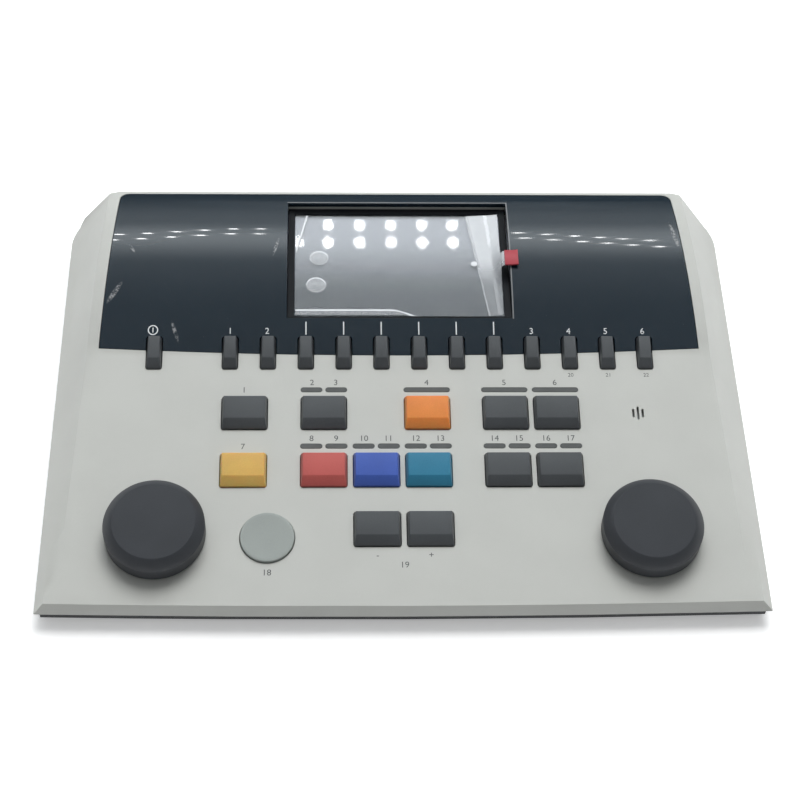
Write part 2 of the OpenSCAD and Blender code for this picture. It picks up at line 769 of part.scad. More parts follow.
module screen_film() {
    foot_u = window_w / 2 - frame_bar - film_in - tongue_run;
    tab_u = window_w / 2 - tab_in;
    color([0.85, 0.88, 0.92]) on_display() {
        screen_plate(film_in, film_z, film_z + film_t);
        // tongue that climbs out of the window and runs under the pull tab
        translate([0, tab_v, 0]) along_v(tab_w) polygon([
            [foot_u, film_z], [foot_u + film_t, film_z], [tab_u, tab_lift],
            [tab_u + tongue_end, tab_lift], [tab_u + tongue_end, tab_lift + film_t],
            [tab_u, tab_lift + film_t], [foot_u, film_z + film_t]]);
    }
}

// Extrudes a (U, H) outline along the panel, centred
module along_v(l) {
    rotate([90, 0, 0]) linear_extrude(l, center = true) children();
}

module film_tab() {
    color([0.80, 0.30, 0.32]) on_display()
        translate([window_w / 2 - tab_in, tab_v - tab_w / 2, tab_lift + film_t])
            cube([tab_l, tab_w, tab_t]);
}

// ---------- boards and what they carry ----------

module key_board() {
    color([0.12, 0.36, 0.22]) difference() {
        on_pad(-key_board_w / 2, key_board_front, -board_depth - board_t)
            cube([key_board_w, key_board_back - key_board_front, board_t]);
        for (p = board_posts) on_pad(p[0], p[1] * stretch, -board_depth - board_t - 1)
            cylinder(r = screw_r + hole_play, h = board_t + 2);
    }
}

module switch_shape() {
    translate([0, 0, -board_depth]) difference() {
        translate([-switch_w / 2, -switch_w / 2, 0]) cube([switch_w, switch_w, switch_h]);
        translate([0, 0, switch_floor]) cylinder(r = stem_r + stem_play, h = switch_h);
    }
}

module key_switches() {
    color([0.22, 0.22, 0.24]) for (n = key_slots) on_pad(n * key_pitch, key_row) switch_shape();
}

module button_switches() {
    color([0.22, 0.22, 0.24]) for (p = button_places) on_button(p) switch_shape();
}

module round_switch_body() {
    color([0.22, 0.22, 0.24]) on_pad(round_x, round_at) switch_shape();
}

module indicator_windows() {
    color([0.42, 0.43, 0.42]) for (p = indicators) on_button(p, bar_behind)
        bars(p[2], 0, led[2] + led_gap - board_depth, bar_proud);
}

module indicator_leds() {
    color([0.90, 0.85, 0.55]) for (p = indicators) on_button(p, bar_behind)
        for (u = p[2] ? [0] : [-bar_l / 2 - bar_split, bar_l / 2 + bar_split])
            translate([u - led[0] / 2, -led[1] / 2, -board_depth]) cube(led);
}

module microphone() {
    color([0.60, 0.60, 0.62]) on_pad(mic_u, mic_v, -board_depth)
        cylinder(r = mic_r, h = board_depth - wall);
}

main_board_y1 = plate_y - main_board_gap;
function main_posts() = [for (x = [-1, 1], y = [post_in, main_board_l - jack_body[1] - 8])
    [x * (main_board_w / 2 - post_in), main_board_y1 - main_board_l + y]];

module main_board() {
    color([0.12, 0.36, 0.22]) difference() {
        translate([-main_board_w / 2, main_board_y1 - main_board_l, main_board_z])
            cube([main_board_w, main_board_l, board_t]);
        for (p = main_posts()) translate([p[0], p[1], main_board_z - 1])
            cylinder(r = screw_r + hole_play, h = board_t + 2);
    }
}

module connector_plate() {
    color([0.24, 0.25, 0.26]) difference() {
        bay_pocket(0);
        for (x = jack_xs()) translate([x, plate_y - 1, socket_z]) rotate([-90, 0, 0])
            cylinder(r = bush_r + nose_gap, h = wall + 2);
        nose(usb_x, usb_block[0], nose_gap, bay_y + 1);
        nose(inlet_x, inlet_block[0], nose_gap, bay_y + 1);
    }
}

module jack_sockets() {
    color([0.16, 0.16, 0.17]) for (x = jack_xs())
        translate([x, plate_y, socket_z]) difference() {
            union() {
                translate([-jack_body[0] / 2, -jack_body[1], -jack_body[2] / 2]) cube(jack_body);
                rotate([-90, 0, 0]) cylinder(r = bush_r, h = wall + bush_out);
            }
            translate([0, jack_floor - jack_body[1], 0]) rotate([-90, 0, 0])
                cylinder(r = jack_r, h = jack_body[1] + wall + bush_out);
        }
}

module jack_nuts() {
    color([0.72, 0.72, 0.74]) for (x = jack_xs())
        translate([x, bay_y, socket_z]) rotate([-90, 0, 0]) difference() {
            cylinder(r = nut_r, h = nut_t, $fn = 6);
            translate([0, 0, -1]) cylinder(r = bush_r + thread_gap, h = nut_t + 2);
        }
}

module usb_socket() {
    color([0.70, 0.70, 0.72]) difference() {
        union() {
            socket_block(usb_x, usb_block);
            nose(usb_x, usb_block[0], 0, bay_y + nose_out);
        }
        translate([usb_x - usb_hole[0] / 2, bay_y + nose_out - plug_depth, socket_z - usb_hole[1] / 2])
            cube([usb_hole[0], plug_depth + 1, usb_hole[1]]);
    }
}

module power_inlet() {
    color([0.14, 0.14, 0.15]) difference() {
        union() {
            socket_block(inlet_x, inlet_block);
            nose(inlet_x, inlet_block[0], 0, bay_y + nose_out);
        }
        translate([inlet_x, bay_y + nose_out - plug_depth, socket_z]) rotate([-90, 0, 0])
            cylinder(r = inlet_r, h = plug_depth + 1);
    }
}

// ---------- feet and screws ----------

module rubber_feet() {
    color([0.13, 0.13, 0.13]) for (x = [-1, 1], y = [-1, 1])
        translate([x * foot_x, y * foot_y, 0]) cylinder(r = foot_r, h = foot_h + foot_sink);
}

module case_screws() {
    color([0.62, 0.62, 0.64]) for (p = case_posts)
        translate([p[0], p[1] * stretch - case_d / 2, foot_h + head_sink - head_t]) {
            cylinder(r = head_r, h = head_t);
            cylinder(r = case_screw_r, h = rim_z - foot_h - head_sink + head_t + case_bite);
        }
}

module board_screws() {
    color([0.62, 0.62, 0.64]) {
        for (p = board_posts) on_pad(p[0], p[1] * stretch, -board_depth - board_t - board_head_t) {
            cylinder(r = board_head_r, h = board_head_t);
            cylinder(r = screw_r, h = board_head_t + board_t + board_bite);
        }
        for (p = main_posts()) translate([p[0], p[1], main_board_z - main_bite]) {
            cylinder(r = screw_r, h = main_bite + board_t + 1);
            translate([0, 0, main_bite + board_t]) cylinder(r = board_head_r, h = board_head_t);
        }
    }
}

upper_shell();
base_shell();
display_fascia();
display_frame();
display_glass();
lcd_module();
screen_film();
film_tab();
indicator_windows();
indicator_leds();
microphone();
key_board();
main_board();
key_switches();
button_switches();
round_switch_body();
encoder_left();
encoder_right();
encoder_nuts();
dial_shaft_left();
dial_shaft_right();
dial_left();
dial_right();
round_button();
key_power();
key_shift();
key_setup();
key_function_1();
key_function_2();
key_function_3();
key_function_4();
key_function_5();
key_function_6();
key_tests();
key_delete();
key_save();
key_print();
button_talk();
button_store();
button_tone();
button_red();
button_blue();
button_teal();
button_orange();
button_mask();
button_sync();
button_manual();
button_single();
button_down();
button_up();
connector_plate();
jack_sockets();
jack_nuts();
usb_socket();
power_inlet();
rubber_feet();
case_screws();
board_screws();
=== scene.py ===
# %% [markdown]
# # A desktop audiometer
# The object is a flat grey console for hearing tests. It has a dark glossy
# panel with a display at the back, a row of small keys, coloured buttons,
# a round tone switch and two dials. The solids come from the CAD model.
# This lesson dresses them. Pieces whose edges need a softer shape are
# modelled again here, on the same places, and the others keep their CAD
# mesh and get a finish.

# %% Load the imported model
import json
import math

import bmesh
import bpy
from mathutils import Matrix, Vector


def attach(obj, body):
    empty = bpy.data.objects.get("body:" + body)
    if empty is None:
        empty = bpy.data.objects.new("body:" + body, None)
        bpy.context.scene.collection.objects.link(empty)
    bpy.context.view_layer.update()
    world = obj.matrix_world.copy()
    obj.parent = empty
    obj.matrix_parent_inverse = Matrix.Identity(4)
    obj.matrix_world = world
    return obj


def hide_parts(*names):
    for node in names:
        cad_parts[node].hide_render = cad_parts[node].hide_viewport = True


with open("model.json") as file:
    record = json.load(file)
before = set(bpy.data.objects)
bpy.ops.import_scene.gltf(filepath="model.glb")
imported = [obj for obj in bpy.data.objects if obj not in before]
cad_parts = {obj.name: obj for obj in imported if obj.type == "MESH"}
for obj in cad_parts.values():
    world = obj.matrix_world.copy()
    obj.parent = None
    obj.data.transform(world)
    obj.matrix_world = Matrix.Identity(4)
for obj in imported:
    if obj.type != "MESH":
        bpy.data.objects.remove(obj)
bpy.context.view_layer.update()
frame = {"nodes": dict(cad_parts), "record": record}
scene = bpy.context.scene
cad = frame["nodes"]
MM = 0.001

# %% [markdown]
# ## The camera
# The photograph was taken from the front and high above, with a long lens.
# Its place was worked out from the corners, the button rows and the two
# dials, so the camera is typed in as it came out and nothing is guessed
# by eye.

# %% Camera
bpy.ops.object.camera_add(
    location=(-0.0313, -0.5327, 0.7005),
    rotation=[math.radians(a) for a in (37.8447, -1.6143, -1.3024)])
camera = bpy.context.object
camera.data.sensor_width = 36
camera.data.lens = 89.89
camera.data.clip_start = 0.05
scene.camera = camera
scene.view_settings.view_transform = "Standard"

# %% [markdown]
# ## Floor and light
# A plain pale floor and a soft room are enough. Most of the light comes
# from above and behind, so that tops are bright and the slopes towards the
# viewer are darker. That wide lamp isn't mirrored, because a black glossy
# panel would show it as a white patch. What the panel and the display do
# mirror are two rows of small round ceiling lamps behind the object, and
# the ceiling that glows around them. The glow fades smoothly, so the bent
# panel shows no edge of it.

# %% Floor and studio light
bpy.ops.mesh.primitive_plane_add(size=6, location=(0, 0, 0))
floor = bpy.context.object
floor.name = "studio_floor"

scene.world = bpy.data.worlds.new("studio")
scene.world.use_nodes = True
room = scene.world.node_tree.nodes["Background"]
room.inputs["Color"].default_value = (0.95, 0.98, 1.0, 1)
room.inputs["Strength"].default_value = 0.27


def lamp(name, place, aim, size, watts):
    """Hangs a round lamp at a place and turns it to what it lights."""
    bpy.ops.object.light_add(type="AREA", location=place)
    made = bpy.context.object
    made.name = name
    made.data.shape = "DISK"
    made.data.size = size
    made.data.energy = watts
    made.rotation_euler = (Vector(aim) - Vector(place)).to_track_quat("-Z", "Y").to_euler()
    made.visible_camera = False
    return made


softbox = lamp("softbox", (0.3, 1.5, 3.0), (0, 0, 0), 2.2, 86)
softbox.visible_glossy = False
# The display mirrors the middle lamps, and the bent panel those at the sides.
CEILING = 2.4
MIDDLE_ROWS = (2.207, 2.256)
MIDDLE_DOTS = (-0.092, -0.031, 0.033, 0.097, 0.161, 0.224)
SIDE_ROWS = (-0.1, 0.1)
SIDE_DOTS = ((-0.47, 2.27), (-0.41, 2.31), (-0.352, 2.37),
             (-0.294, 2.43), (-0.234, 2.49), (-0.172, 2.50),
             (0.371, 2.36), (0.425, 2.30), (0.480, 2.24),
             (0.530, 2.19), (0.579, 2.14), (0.629, 2.09))
DOT_SIZE, DOT_WATTS = 0.022, 0.042
dots = [(x, MIDDLE_ROWS[0]) for x in MIDDLE_DOTS]
dots += [(x, MIDDLE_ROWS[1]) for x in MIDDLE_DOTS[1:]]
dots += [(x, y + shift) for x, y in SIDE_DOTS for shift in SIDE_ROWS]
for x, y in dots:
    lamp("ceiling_dot", (x, y, CEILING), (0, 0.05, 0.03), DOT_SIZE, DOT_WATTS)
bpy.ops.mesh.primitive_plane_add(size=5.6, location=(0.1, 2.25, CEILING + 0.02))
ceiling = bpy.context.object
ceiling.name = "ceiling"
ceiling.visible_camera = False
ceiling.visible_shadow = False
print("ceiling dots:", len(dots))

# %% [markdown]
# ## Writing materials as sums
# A finish is easier to read as a formula than as a page of nodes. One
# class wraps a socket, so that adding or multiplying two of them adds the
# Math node. A second class holds a material and adds any other node.

# %% Shader maths
class Wire:
    """The output of a shader node, as a value that can be reckoned with."""

    def __init__(self, finish, socket):
        self.finish = finish
        self.socket = socket

    def math(self, operation, first, second=None, third=None):
        values = {i: v for i, v in enumerate((first, second, third)) if v is not None}
        return self.finish.add("ShaderNodeMath", {"operation": operation}, values)

    def __add__(self, other):
        return self.math("ADD", self, other)

    def __radd__(self, other):
        return self.math("ADD", other, self)

    def __sub__(self, other):
        return self.math("SUBTRACT", self, other)

    def __rsub__(self, other):
        return self.math("SUBTRACT", other, self)

    def __mul__(self, other):
        return self.math("MULTIPLY", self, other)

    def __truediv__(self, other):
        return self.math("DIVIDE", self, other)

    def __pow__(self, other):
        return self.math("POWER", self, other)

    def absolute(self):
        return self.math("ABSOLUTE", self)

    def most(self, other):
        return self.math("MAXIMUM", self, other)

    def ramp(self, start, end):
        """0 below start, 1 above end, and smooth between them."""
        rising = start < end
        low, high = (start, end) if rising else (end, start)
        smooth = self.finish.add(
            "ShaderNodeMapRange", {"interpolation_type": "SMOOTHSTEP"},
            {"Value": self, "From Min": low, "From Max": high})
        return smooth if rising else 1 - smooth


class Finish:
    """A material, with its nodes added one at a time."""

    def __init__(self, name):
        self.material = bpy.data.materials.new(name)
        self.material.use_nodes = True
        self.tree = self.material.node_tree
        self.shader = self.tree.nodes["Principled BSDF"]
        self.place = self.add("ShaderNodeTexCoord", {}, {}, "Object")

    def add(self, kind, settings, values, output=0):
        node = self.tree.nodes.new(kind)
        for key, value in settings.items():
            setattr(node, key, value)
        self.feed(node, values)
        return Wire(self, node.outputs[output])

    def feed(self, node, values):
        for key, value in values.items():
            if isinstance(value, Wire):
                self.tree.links.new(value.socket, node.inputs[key])
            else:
                node.inputs[key].default_value = value

    def noise(self, size_mm, detail=3, rough=0.5, at=None):
        """Soft random cloud, 0 to 1, with blotches of about this size."""
        return self.add("ShaderNodeTexNoise", {},
                        {"Vector": at or self.place, "Scale": 1000 / size_mm,
                         "Detail": detail, "Roughness": rough})

    def axes(self):
        """The place on the object, as three numbers in millimetres."""
        split = self.add("ShaderNodeSeparateXYZ", {}, {"Vector": self.place})
        node = split.socket.node
        return [Wire(self, node.outputs[i]) * 1000 for i in range(3)]

    def blend(self, share, first, second):
        """One colour passing into another by a share from 0 to 1."""
        return self.add("ShaderNodeMix", {"data_type": "RGBA"}, {0: share, 6: first, 7: second}, 2)

    def bump(self, height, depth_mm, under=None):
        values = {"Height": height, "Distance": depth_mm * MM, "Strength": 1.0}
        if under:
            values["Normal"] = under
        return self.add("ShaderNodeBump", {}, values)

    def set(self, **values):
        """Sets the sockets of the shader: base_color=... is Base Color."""
        for key, value in values.items():
            self.feed(self.shader, {key.replace("_", " ").title().replace("Ior", "IOR"): value})
        return self.material


def grey(value, warm=0.0):
    """A neutral colour, a little warmer or cooler than grey."""
    return (value * (1 + warm), value, value * (1 - warm), 1)


# %% [markdown]
# ## Moulded plastic
# Most of the console is ABS. A mould leaves a fine even grain on it, which
# breaks the highlight into a soft one, and handling leaves slightly glossier
# and slightly greyer patches. The same recipe makes the pale shell, the
# charcoal tray and the caps, with its own colour, grain and gloss each.

# %% Moulded plastic recipe
def moulded(name, colour, rough=0.45, grain_mm=0.35, grain_depth=0.012, mottle=0.05, dust=0.0):
    finish = Finish(name)
    cloud = finish.noise(22, detail=4)
    speck = finish.noise(0.5, detail=2)
    dark = [c * (1 - mottle) for c in colour[:3]] + [1]
    light = [min(1, c * (1 + mottle)) for c in colour[:3]] + [1]
    tone = finish.blend((cloud * 0.7 + speck * 0.3).ramp(0.3, 0.7), dark, light)
    if dust:
        fluff = finish.noise(1.3, detail=6, rough=0.7).ramp(0.66, 0.8) * dust
        tone = finish.blend(fluff, tone, grey(0.6))
    gloss = rough + (finish.noise(9, detail=3) - 0.5) * 0.12
    grain = finish.noise(grain_mm, detail=2, rough=0.6)
    return finish.set(base_color=tone, roughness=gloss, normal=finish.bump(grain, grain_depth))


floor_finish = Finish("studio_paper")
paper = floor_finish.noise(4, detail=3)
floor.data.materials.append(floor_finish.set(
    base_color=floor_finish.blend(paper, grey(0.93), grey(0.96)), roughness=0.9,
    emission_color=grey(1.0), emission_strength=0.30))
ceiling_glow = Finish("ceiling_glow")
behind_lamps = ceiling_glow.axes()[1]
wide_glow = (behind_lamps - 500).absolute().ramp(2300, 100)
near_glow = behind_lamps.absolute().ramp(740, 0)
glow = wide_glow * 0.30 + near_glow * 0.58
ceiling.data.materials.append(ceiling_glow.set(
    base_color=grey(0.5), emission_color=ceiling_glow.blend(glow, grey(0), (0.90, 0.97, 1.0, 1)),
    emission_strength=3.4))

# %% [markdown]
# ## Tools for modelling by hand
# Every new piece starts as a primitive and is shaped in edit mode. An
# operator acts on whatever is selected, so two small helpers come first:
# one leaves a single piece selected, and one picks the faces, edges or
# corners that lie in a given place.

# %% Selecting and shaping
def alone(piece):
    """Leaves one piece selected and active."""
    bpy.ops.object.select_all(action="DESELECT")
    piece.select_set(True)
    bpy.context.view_layer.objects.active = piece


def pick(kind, test):
    """In edit mode, selects the corners, edges or faces that pass the test."""
    bpy.ops.mesh.select_mode(type=kind)
    bpy.ops.mesh.select_all(action="DESELECT")
    shape = bmesh.from_edit_mesh(bpy.context.object.data)
    if kind == "FACE":
        for face in shape.faces:
            face.select_set(test(face.calc_center_median(), face.normal))
    elif kind == "EDGE":
        for edge in shape.edges:
            edge.select_set(all(test(corner.co) for corner in edge.verts))
    else:
        for corner in shape.verts:
            corner.select_set(test(corner.co))
    shape.select_flush_mode()
    bmesh.update_edit_mesh(bpy.context.object.data)


def move(*offset):
    bpy.ops.transform.translate(value=offset)


def soften(piece, width_mm, segments=3, angle=30, smooth=40):
    """Rounds the sharp edges and smooths the faces between them."""
    alone(piece)
    bevel = piece.modifiers.new("soft_edges", "BEVEL")
    bevel.width = width_mm * MM
    bevel.segments = segments
    bevel.limit_method = "ANGLE"
    bevel.angle_limit = math.radians(angle)
    bpy.ops.object.modifier_apply(modifier=bevel.name)
    bpy.ops.object.shade_smooth_by_angle(angle=math.radians(smooth))
    return piece


def settle(piece):
    """Puts a piece's place and turn into its mesh, as a CAD node has it."""
    alone(piece)
    bpy.ops.object.transform_apply(location=True, rotation=True, scale=True)
    return piece


def twin(piece, name):
    made = piece.copy()
    made.data = piece.data.copy()
    made.name = name
    scene.collection.objects.link(made)
    return made


def finished(piece, finish, body, *stands_for):
    """Gives a piece its finish and its body, and hides what it stands for."""
    piece.data.materials.clear()
    piece.data.materials.append(finish)
    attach(piece, body)
    if stands_for:
        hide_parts(*stands_for)
        slot = next(s["material_slot"] for s in frame["record"]["subparts"]
                    if s["node"] == stands_for[0])
    return piece


# %% [markdown]
# ## Places on the keypad
# The keypad slopes at 7.8 degrees. A point on it is given the way the
# drawing gives it: so far across, so far up the slope, so high above it.

# %% The keypad's slope
TILT = math.radians(7.8)
PAD_FRONT = Vector((0, -103.4, 12)) * MM


def on_pad(u, v, h=0.0):
    """A point on the keypad, from millimetres across, up the slope and above it."""
    return PAD_FRONT + Vector((u, v * math.cos(TILT) - h * math.sin(TILT),
                               v * math.sin(TILT) + h * math.cos(TILT))) * MM


def lay_on_pad(piece, u, v, h=0.0):
    piece.location = on_pad(u, v, h)
    piece.rotation_euler = (TILT, 0, 0)
    return settle(piece)


# %% [markdown]
# ## Keys and buttons
# A key cap is moulded in one shot. Its back is flat, its front slopes down
# towards the finger, and its sides lean in. It starts as a block. The top
# face is pulled up and narrowed, a cut across it makes the ridge, and the
# front row of corners is lowered. Below the panel a flange keeps the cap
# from falling out, and a stem reaches the switch.

# %% One cap, modelled once for each size
# Millimetres from the keypad's surface
FLANGE_TOP, FLANGE_T, FLANGE_OUT = -2.8, 0.9, 0.8
STEM_END, STEM_R = -6.2, 1.5
WALL_TOP = 0.2


def model_cap(name, w, l, lean, front_h, ridge, ridge_h, rear_h, edge_h):
    bpy.ops.object.select_all(action="DESELECT")
    bottom = FLANGE_TOP - FLANGE_T
    bpy.ops.mesh.primitive_cube_add(size=1, location=(0, 0, (bottom + WALL_TOP) / 2 * MM))
    cap = bpy.context.object
    cap.name = name
    cap.scale = Vector((w, l, WALL_TOP - bottom)) * MM
    settle(cap)
    bpy.ops.object.mode_set(mode="EDIT")
    pick("FACE", lambda at, normal: normal.z > 0.9)
    bpy.ops.mesh.extrude_region_move(
        TRANSFORM_OT_translate={"value": (0, 0, (rear_h - WALL_TOP) * MM)})
    top_w = w - 2 * lean
    bpy.ops.transform.resize(value=(top_w / w, 1, 1))
    # The front row goes down, and widens as the leaning sides do there.
    pick("VERT", lambda at: at.z > 1 * MM and at.y < 0)
    move(0, 0, (front_h - rear_h) * MM)
    bpy.ops.transform.resize(value=((w - 2 * lean * front_h / rear_h) / top_w, 1, 1))
    # A cut across the top makes the ridge, which is lifted to its height.
    bpy.ops.mesh.select_all(action="SELECT")
    bpy.ops.mesh.bisect(plane_co=(0, ridge * MM, 0), plane_no=(0, 1, 0))
    pick("VERT", lambda at: abs(at.y - ridge * MM) < 0.01 * MM and at.z > 0.5 * MM)
    shape = bmesh.from_edit_mesh(cap.data)
    ridge_corners = [corner.co.copy() for corner in shape.verts if corner.select]
    ridge_w = max(at.x for at in ridge_corners) * 2
    move(0, 0, ridge_h * MM - max(at.z for at in ridge_corners))
    bpy.ops.transform.resize(value=((w - 2 * lean * ridge_h / rear_h) * MM / ridge_w, 1, 1))
    # The rear edge leans forward above its lower half.
    bpy.ops.mesh.select_all(action="SELECT")
    bpy.ops.mesh.bisect(plane_co=(0, 0, edge_h * MM), plane_no=(0, 0, 1))
    pick("VERT", lambda at: at.y > (l / 2 - 0.1) * MM and at.z > (edge_h + 0.3) * MM)
    move(0, -lean * MM, 0)
    bpy.ops.object.mode_set(mode="OBJECT")
    return cap


def add_flange_and_stem(cap, w, l):
    """The two pieces under the panel, joined to the finished cap."""
    bpy.ops.object.select_all(action="DESELECT")
    bpy.ops.mesh.primitive_cube_add(size=1, location=(0, 0, (FLANGE_TOP - FLANGE_T / 2) * MM))
    flange = bpy.context.object
    flange.scale = Vector((w + 2 * FLANGE_OUT, l + 2 * FLANGE_OUT, FLANGE_T)) * MM
    soften(settle(flange), 0.2, 1)
    bpy.ops.object.select_all(action="DESELECT")
    height = FLANGE_TOP - FLANGE_T / 2 - STEM_END
    bpy.ops.mesh.primitive_cylinder_add(vertices=24, radius=STEM_R * MM, depth=height * MM,
                                        location=(0, 0, (STEM_END + height / 2) * MM))
    stem = soften(bpy.context.object, 0.2, 1)
    settle(stem)
    alone(cap)
    flange.select_set(True)
    stem.select_set(True)
    bpy.ops.object.join()
    return cap


KEY_W, KEY_L = 6.5, 15.0
BUTTON_W, BUTTON_L = 19.3, 15.4
small_cap = model_cap("small_cap", KEY_W, KEY_L, lean=0.75, front_h=0.8, ridge=-KEY_L / 4,
                      ridge_h=3.5, rear_h=4.2, edge_h=1.4)
large_cap = model_cap("large_cap", BUTTON_W, BUTTON_L, lean=0.9, front_h=1.0, ridge=-BUTTON_L / 4,
                      ridge_h=3.3, rear_h=3.4, edge_h=0.8)
for cap, w, l, round_mm in ((small_cap, KEY_W, KEY_L, 0.35), (large_cap, BUTTON_W, BUTTON_L, 0.45)):
    add_flange_and_stem(soften(cap, round_mm, 3, 18, 35), w, l)
    print(cap.name, len(cap.data.polygons), "faces")

# %% [markdown]
# ## The colours of the caps
# The colours are moulded in, and dust settles on the grain. The plastic of
# the yellow and the orange cap lets light in, so that their fronts stay pale.

# %% Cap finishes and where each cap goes
def cap_plastic(name, colour):
    return moulded(name, (*colour, 1), rough=0.42, grain_mm=0.28, grain_depth=0.008,
                   mottle=0.10, dust=0.05)


charcoal_cap = cap_plastic("charcoal_cap", (0.060, 0.065, 0.070))
CAP_COLOURS = {
    "store": (0.62, 0.40, 0.11), "red": (0.42, 0.085, 0.075), "blue": (0.045, 0.095, 0.38),
    "teal": (0.022, 0.165, 0.27), "orange": (0.70, 0.245, 0.055)}
coloured_caps = {name: cap_plastic(name + "_cap", colour) for name, colour in CAP_COLOURS.items()}
for pale in ("store", "orange"):
    inside = coloured_caps[pale].node_tree.nodes["Principled BSDF"].inputs
    inside["Subsurface Weight"].default_value = 0.6
    inside["Subsurface Scale"].default_value = 5 * MM

KEY_PITCH, KEY_ROW = 16.35, 119.0
KEY_SLOTS = {
    "power": -6.5, "shift": -4.5, "setup": -3.5, "function_1": -2.5, "function_2": -1.5,
    "function_3": -0.5, "function_4": 0.5, "function_5": 1.5, "function_6": 2.5,
    "tests": 3.5, "delete": 4.5, "save": 5.5, "print": 6.5}
COLUMNS = (-66.8, -33.1, -11, 11, 44.4, 66.3)
ROWS = (34.4, 61.9, 89.4)
BUTTONS = {
    "talk": (0, 2), "store": (0, 1), "tone": (1, 2), "red": (1, 1), "blue": (2, 1),
    "teal": (3, 1), "orange": (3, 2), "mask": (4, 2), "sync": (5, 2), "manual": (4, 1),
    "single": (5, 1), "down": (2, 0), "up": (3, 0)}

for name, slot in KEY_SLOTS.items():
    key = lay_on_pad(twin(small_cap, "cap_key_" + name), slot * KEY_PITCH, KEY_ROW)
    finished(key, charcoal_cap, "key_" + name, "key_" + name)
for name, (column, row) in BUTTONS.items():
    button = lay_on_pad(twin(large_cap, "cap_button_" + name), COLUMNS[column], ROWS[row])
    finished(button, coloured_caps.get(name, charcoal_cap), "button_" + name, "button_" + name)
bpy.data.objects.remove(small_cap)
bpy.data.objects.remove(large_cap)
print("caps placed:", len(KEY_SLOTS) + len(BUTTONS))

# %% [markdown]
# ## The round tone switch
# It is one flat disc that the thumb presses, very slightly dished, with a
# small rounded rim. A cylinder's top face is inset, dropped a little and
# the rim is rounded by the edge tool.

# %% Round switch
def turned(name, radius, bottom, top, sides=96):
    """A plain turned blank, standing on the keypad's origin."""
    bpy.ops.object.select_all(action="DESELECT")
    bpy.ops.mesh.primitive_cylinder_add(
        vertices=sides, radius=radius * MM, depth=(top - bottom) * MM,
        location=(0, 0, (top + bottom) / 2 * MM))
    made = bpy.context.object
    made.name = name
    return settle(made)


ROUND_U, ROUND_V, ROUND_R, ROUND_H = -56.3, 30.6, 11.2, 1.2
disc = turned("round_switch_cap", ROUND_R, FLANGE_TOP, ROUND_H)
bpy.ops.object.mode_set(mode="EDIT")
pick("FACE", lambda at, normal: normal.z > 0.9)
for inset_mm, drop_mm in ((1.6, 0), (2.4, 0.22), (3.0, 0.1)):
    bpy.ops.mesh.inset(thickness=inset_mm * MM, depth=0)
    move(0, 0, -drop_mm * MM)
bpy.ops.object.mode_set(mode="OBJECT")
soften(disc, 0.4, 3, 50, 50)
skirt = turned("skirt", ROUND_R + FLANGE_OUT, FLANGE_TOP - FLANGE_T, FLANGE_TOP, 48)
soften(skirt, 0.2, 1)
stem = turned("stem", STEM_R, STEM_END, FLANGE_TOP - FLANGE_T / 2, 24)
soften(stem, 0.2, 1)
alone(disc)
skirt.select_set(True)
stem.select_set(True)
bpy.ops.object.join()
lay_on_pad(disc, ROUND_U, ROUND_V)
switch_grey = moulded("tone_switch_grey", (0.30, 0.325, 0.31, 1), rough=0.40, grain_mm=0.3,
                      grain_depth=0.006)
finished(disc, switch_grey, "round_button", "round_button")

# %% [markdown]
# ## The two dials
# A dial is a hollow charcoal cap with a wide soft rounding at the top and
# nothing on it that the finger could feel, so it turns without end. The
# blank is hollowed from below, its top edge takes a wide bevel, and the
# foot a small one, which catches a thin line of light.

# %% Dials
dial_grey = moulded("dial_charcoal", (0.033, 0.036, 0.042, 1), rough=0.50, grain_mm=0.4,
                    grain_depth=0.014, mottle=0.10, dust=0.06)
DIAL_U, DIAL_V = 102.2, 32.5
DIAL_R, DIAL_H, DIAL_GAP = 20.8, 12.0, 0.8
# Wall of the hollow cap, foot and radius of its hub, and the bore for the shaft
DIAL_SKIN, HUB_FOOT, HUB_R, SHAFT_R, BORE_TOP = 2.6, 2.6, 6.4, 3.0, 9.6


def model_dial(name):
    dial = turned(name, DIAL_R, DIAL_GAP, DIAL_H, 128)
    bpy.ops.object.mode_set(mode="EDIT")
    pick("EDGE", lambda at: at.z > (DIAL_H - 0.01) * MM)
    bpy.ops.mesh.bevel(offset=3.9 * MM, segments=8, profile=0.32, affect="EDGES")
    pick("FACE", lambda at, normal: normal.z > 0.999)
    bpy.ops.mesh.inset(thickness=5 * MM)
    move(0, 0, 0.12 * MM)
    pick("FACE", lambda at, normal: normal.z < -0.999)
    steps = ((DIAL_SKIN, DIAL_H - DIAL_SKIN - DIAL_GAP),
             (DIAL_R - DIAL_SKIN - HUB_R, HUB_FOOT - (DIAL_H - DIAL_SKIN)),
             (HUB_R - SHAFT_R, BORE_TOP - HUB_FOOT))
    for inset_mm, lift_mm in steps:
        bpy.ops.mesh.inset(thickness=inset_mm * MM)
        bpy.ops.mesh.extrude_region_move(
            TRANSFORM_OT_translate={"value": (0, 0, lift_mm * MM)})
    bpy.ops.object.mode_set(mode="OBJECT")
    return soften(dial, 0.25, 2, 50, 22)


for side, sign in (("left", -1), ("right", 1)):
    dial = lay_on_pad(model_dial("turned_dial_" + side), sign * DIAL_U, DIAL_V)
    finished(dial, dial_grey, side + "_dial", "dial_" + side)

# %% [markdown]
# ## The case, from its CAD shape
# The long twisted cheeks, the openings and the bosses are already right in
# the CAD model. What a mould gives and the CAD lacks is a small radius on
# every edge. So the CAD mesh is copied, its loose triangles are merged,
# flat neighbours become one face, and the sharp edges are bevelled. The CAD
# object itself isn't touched.

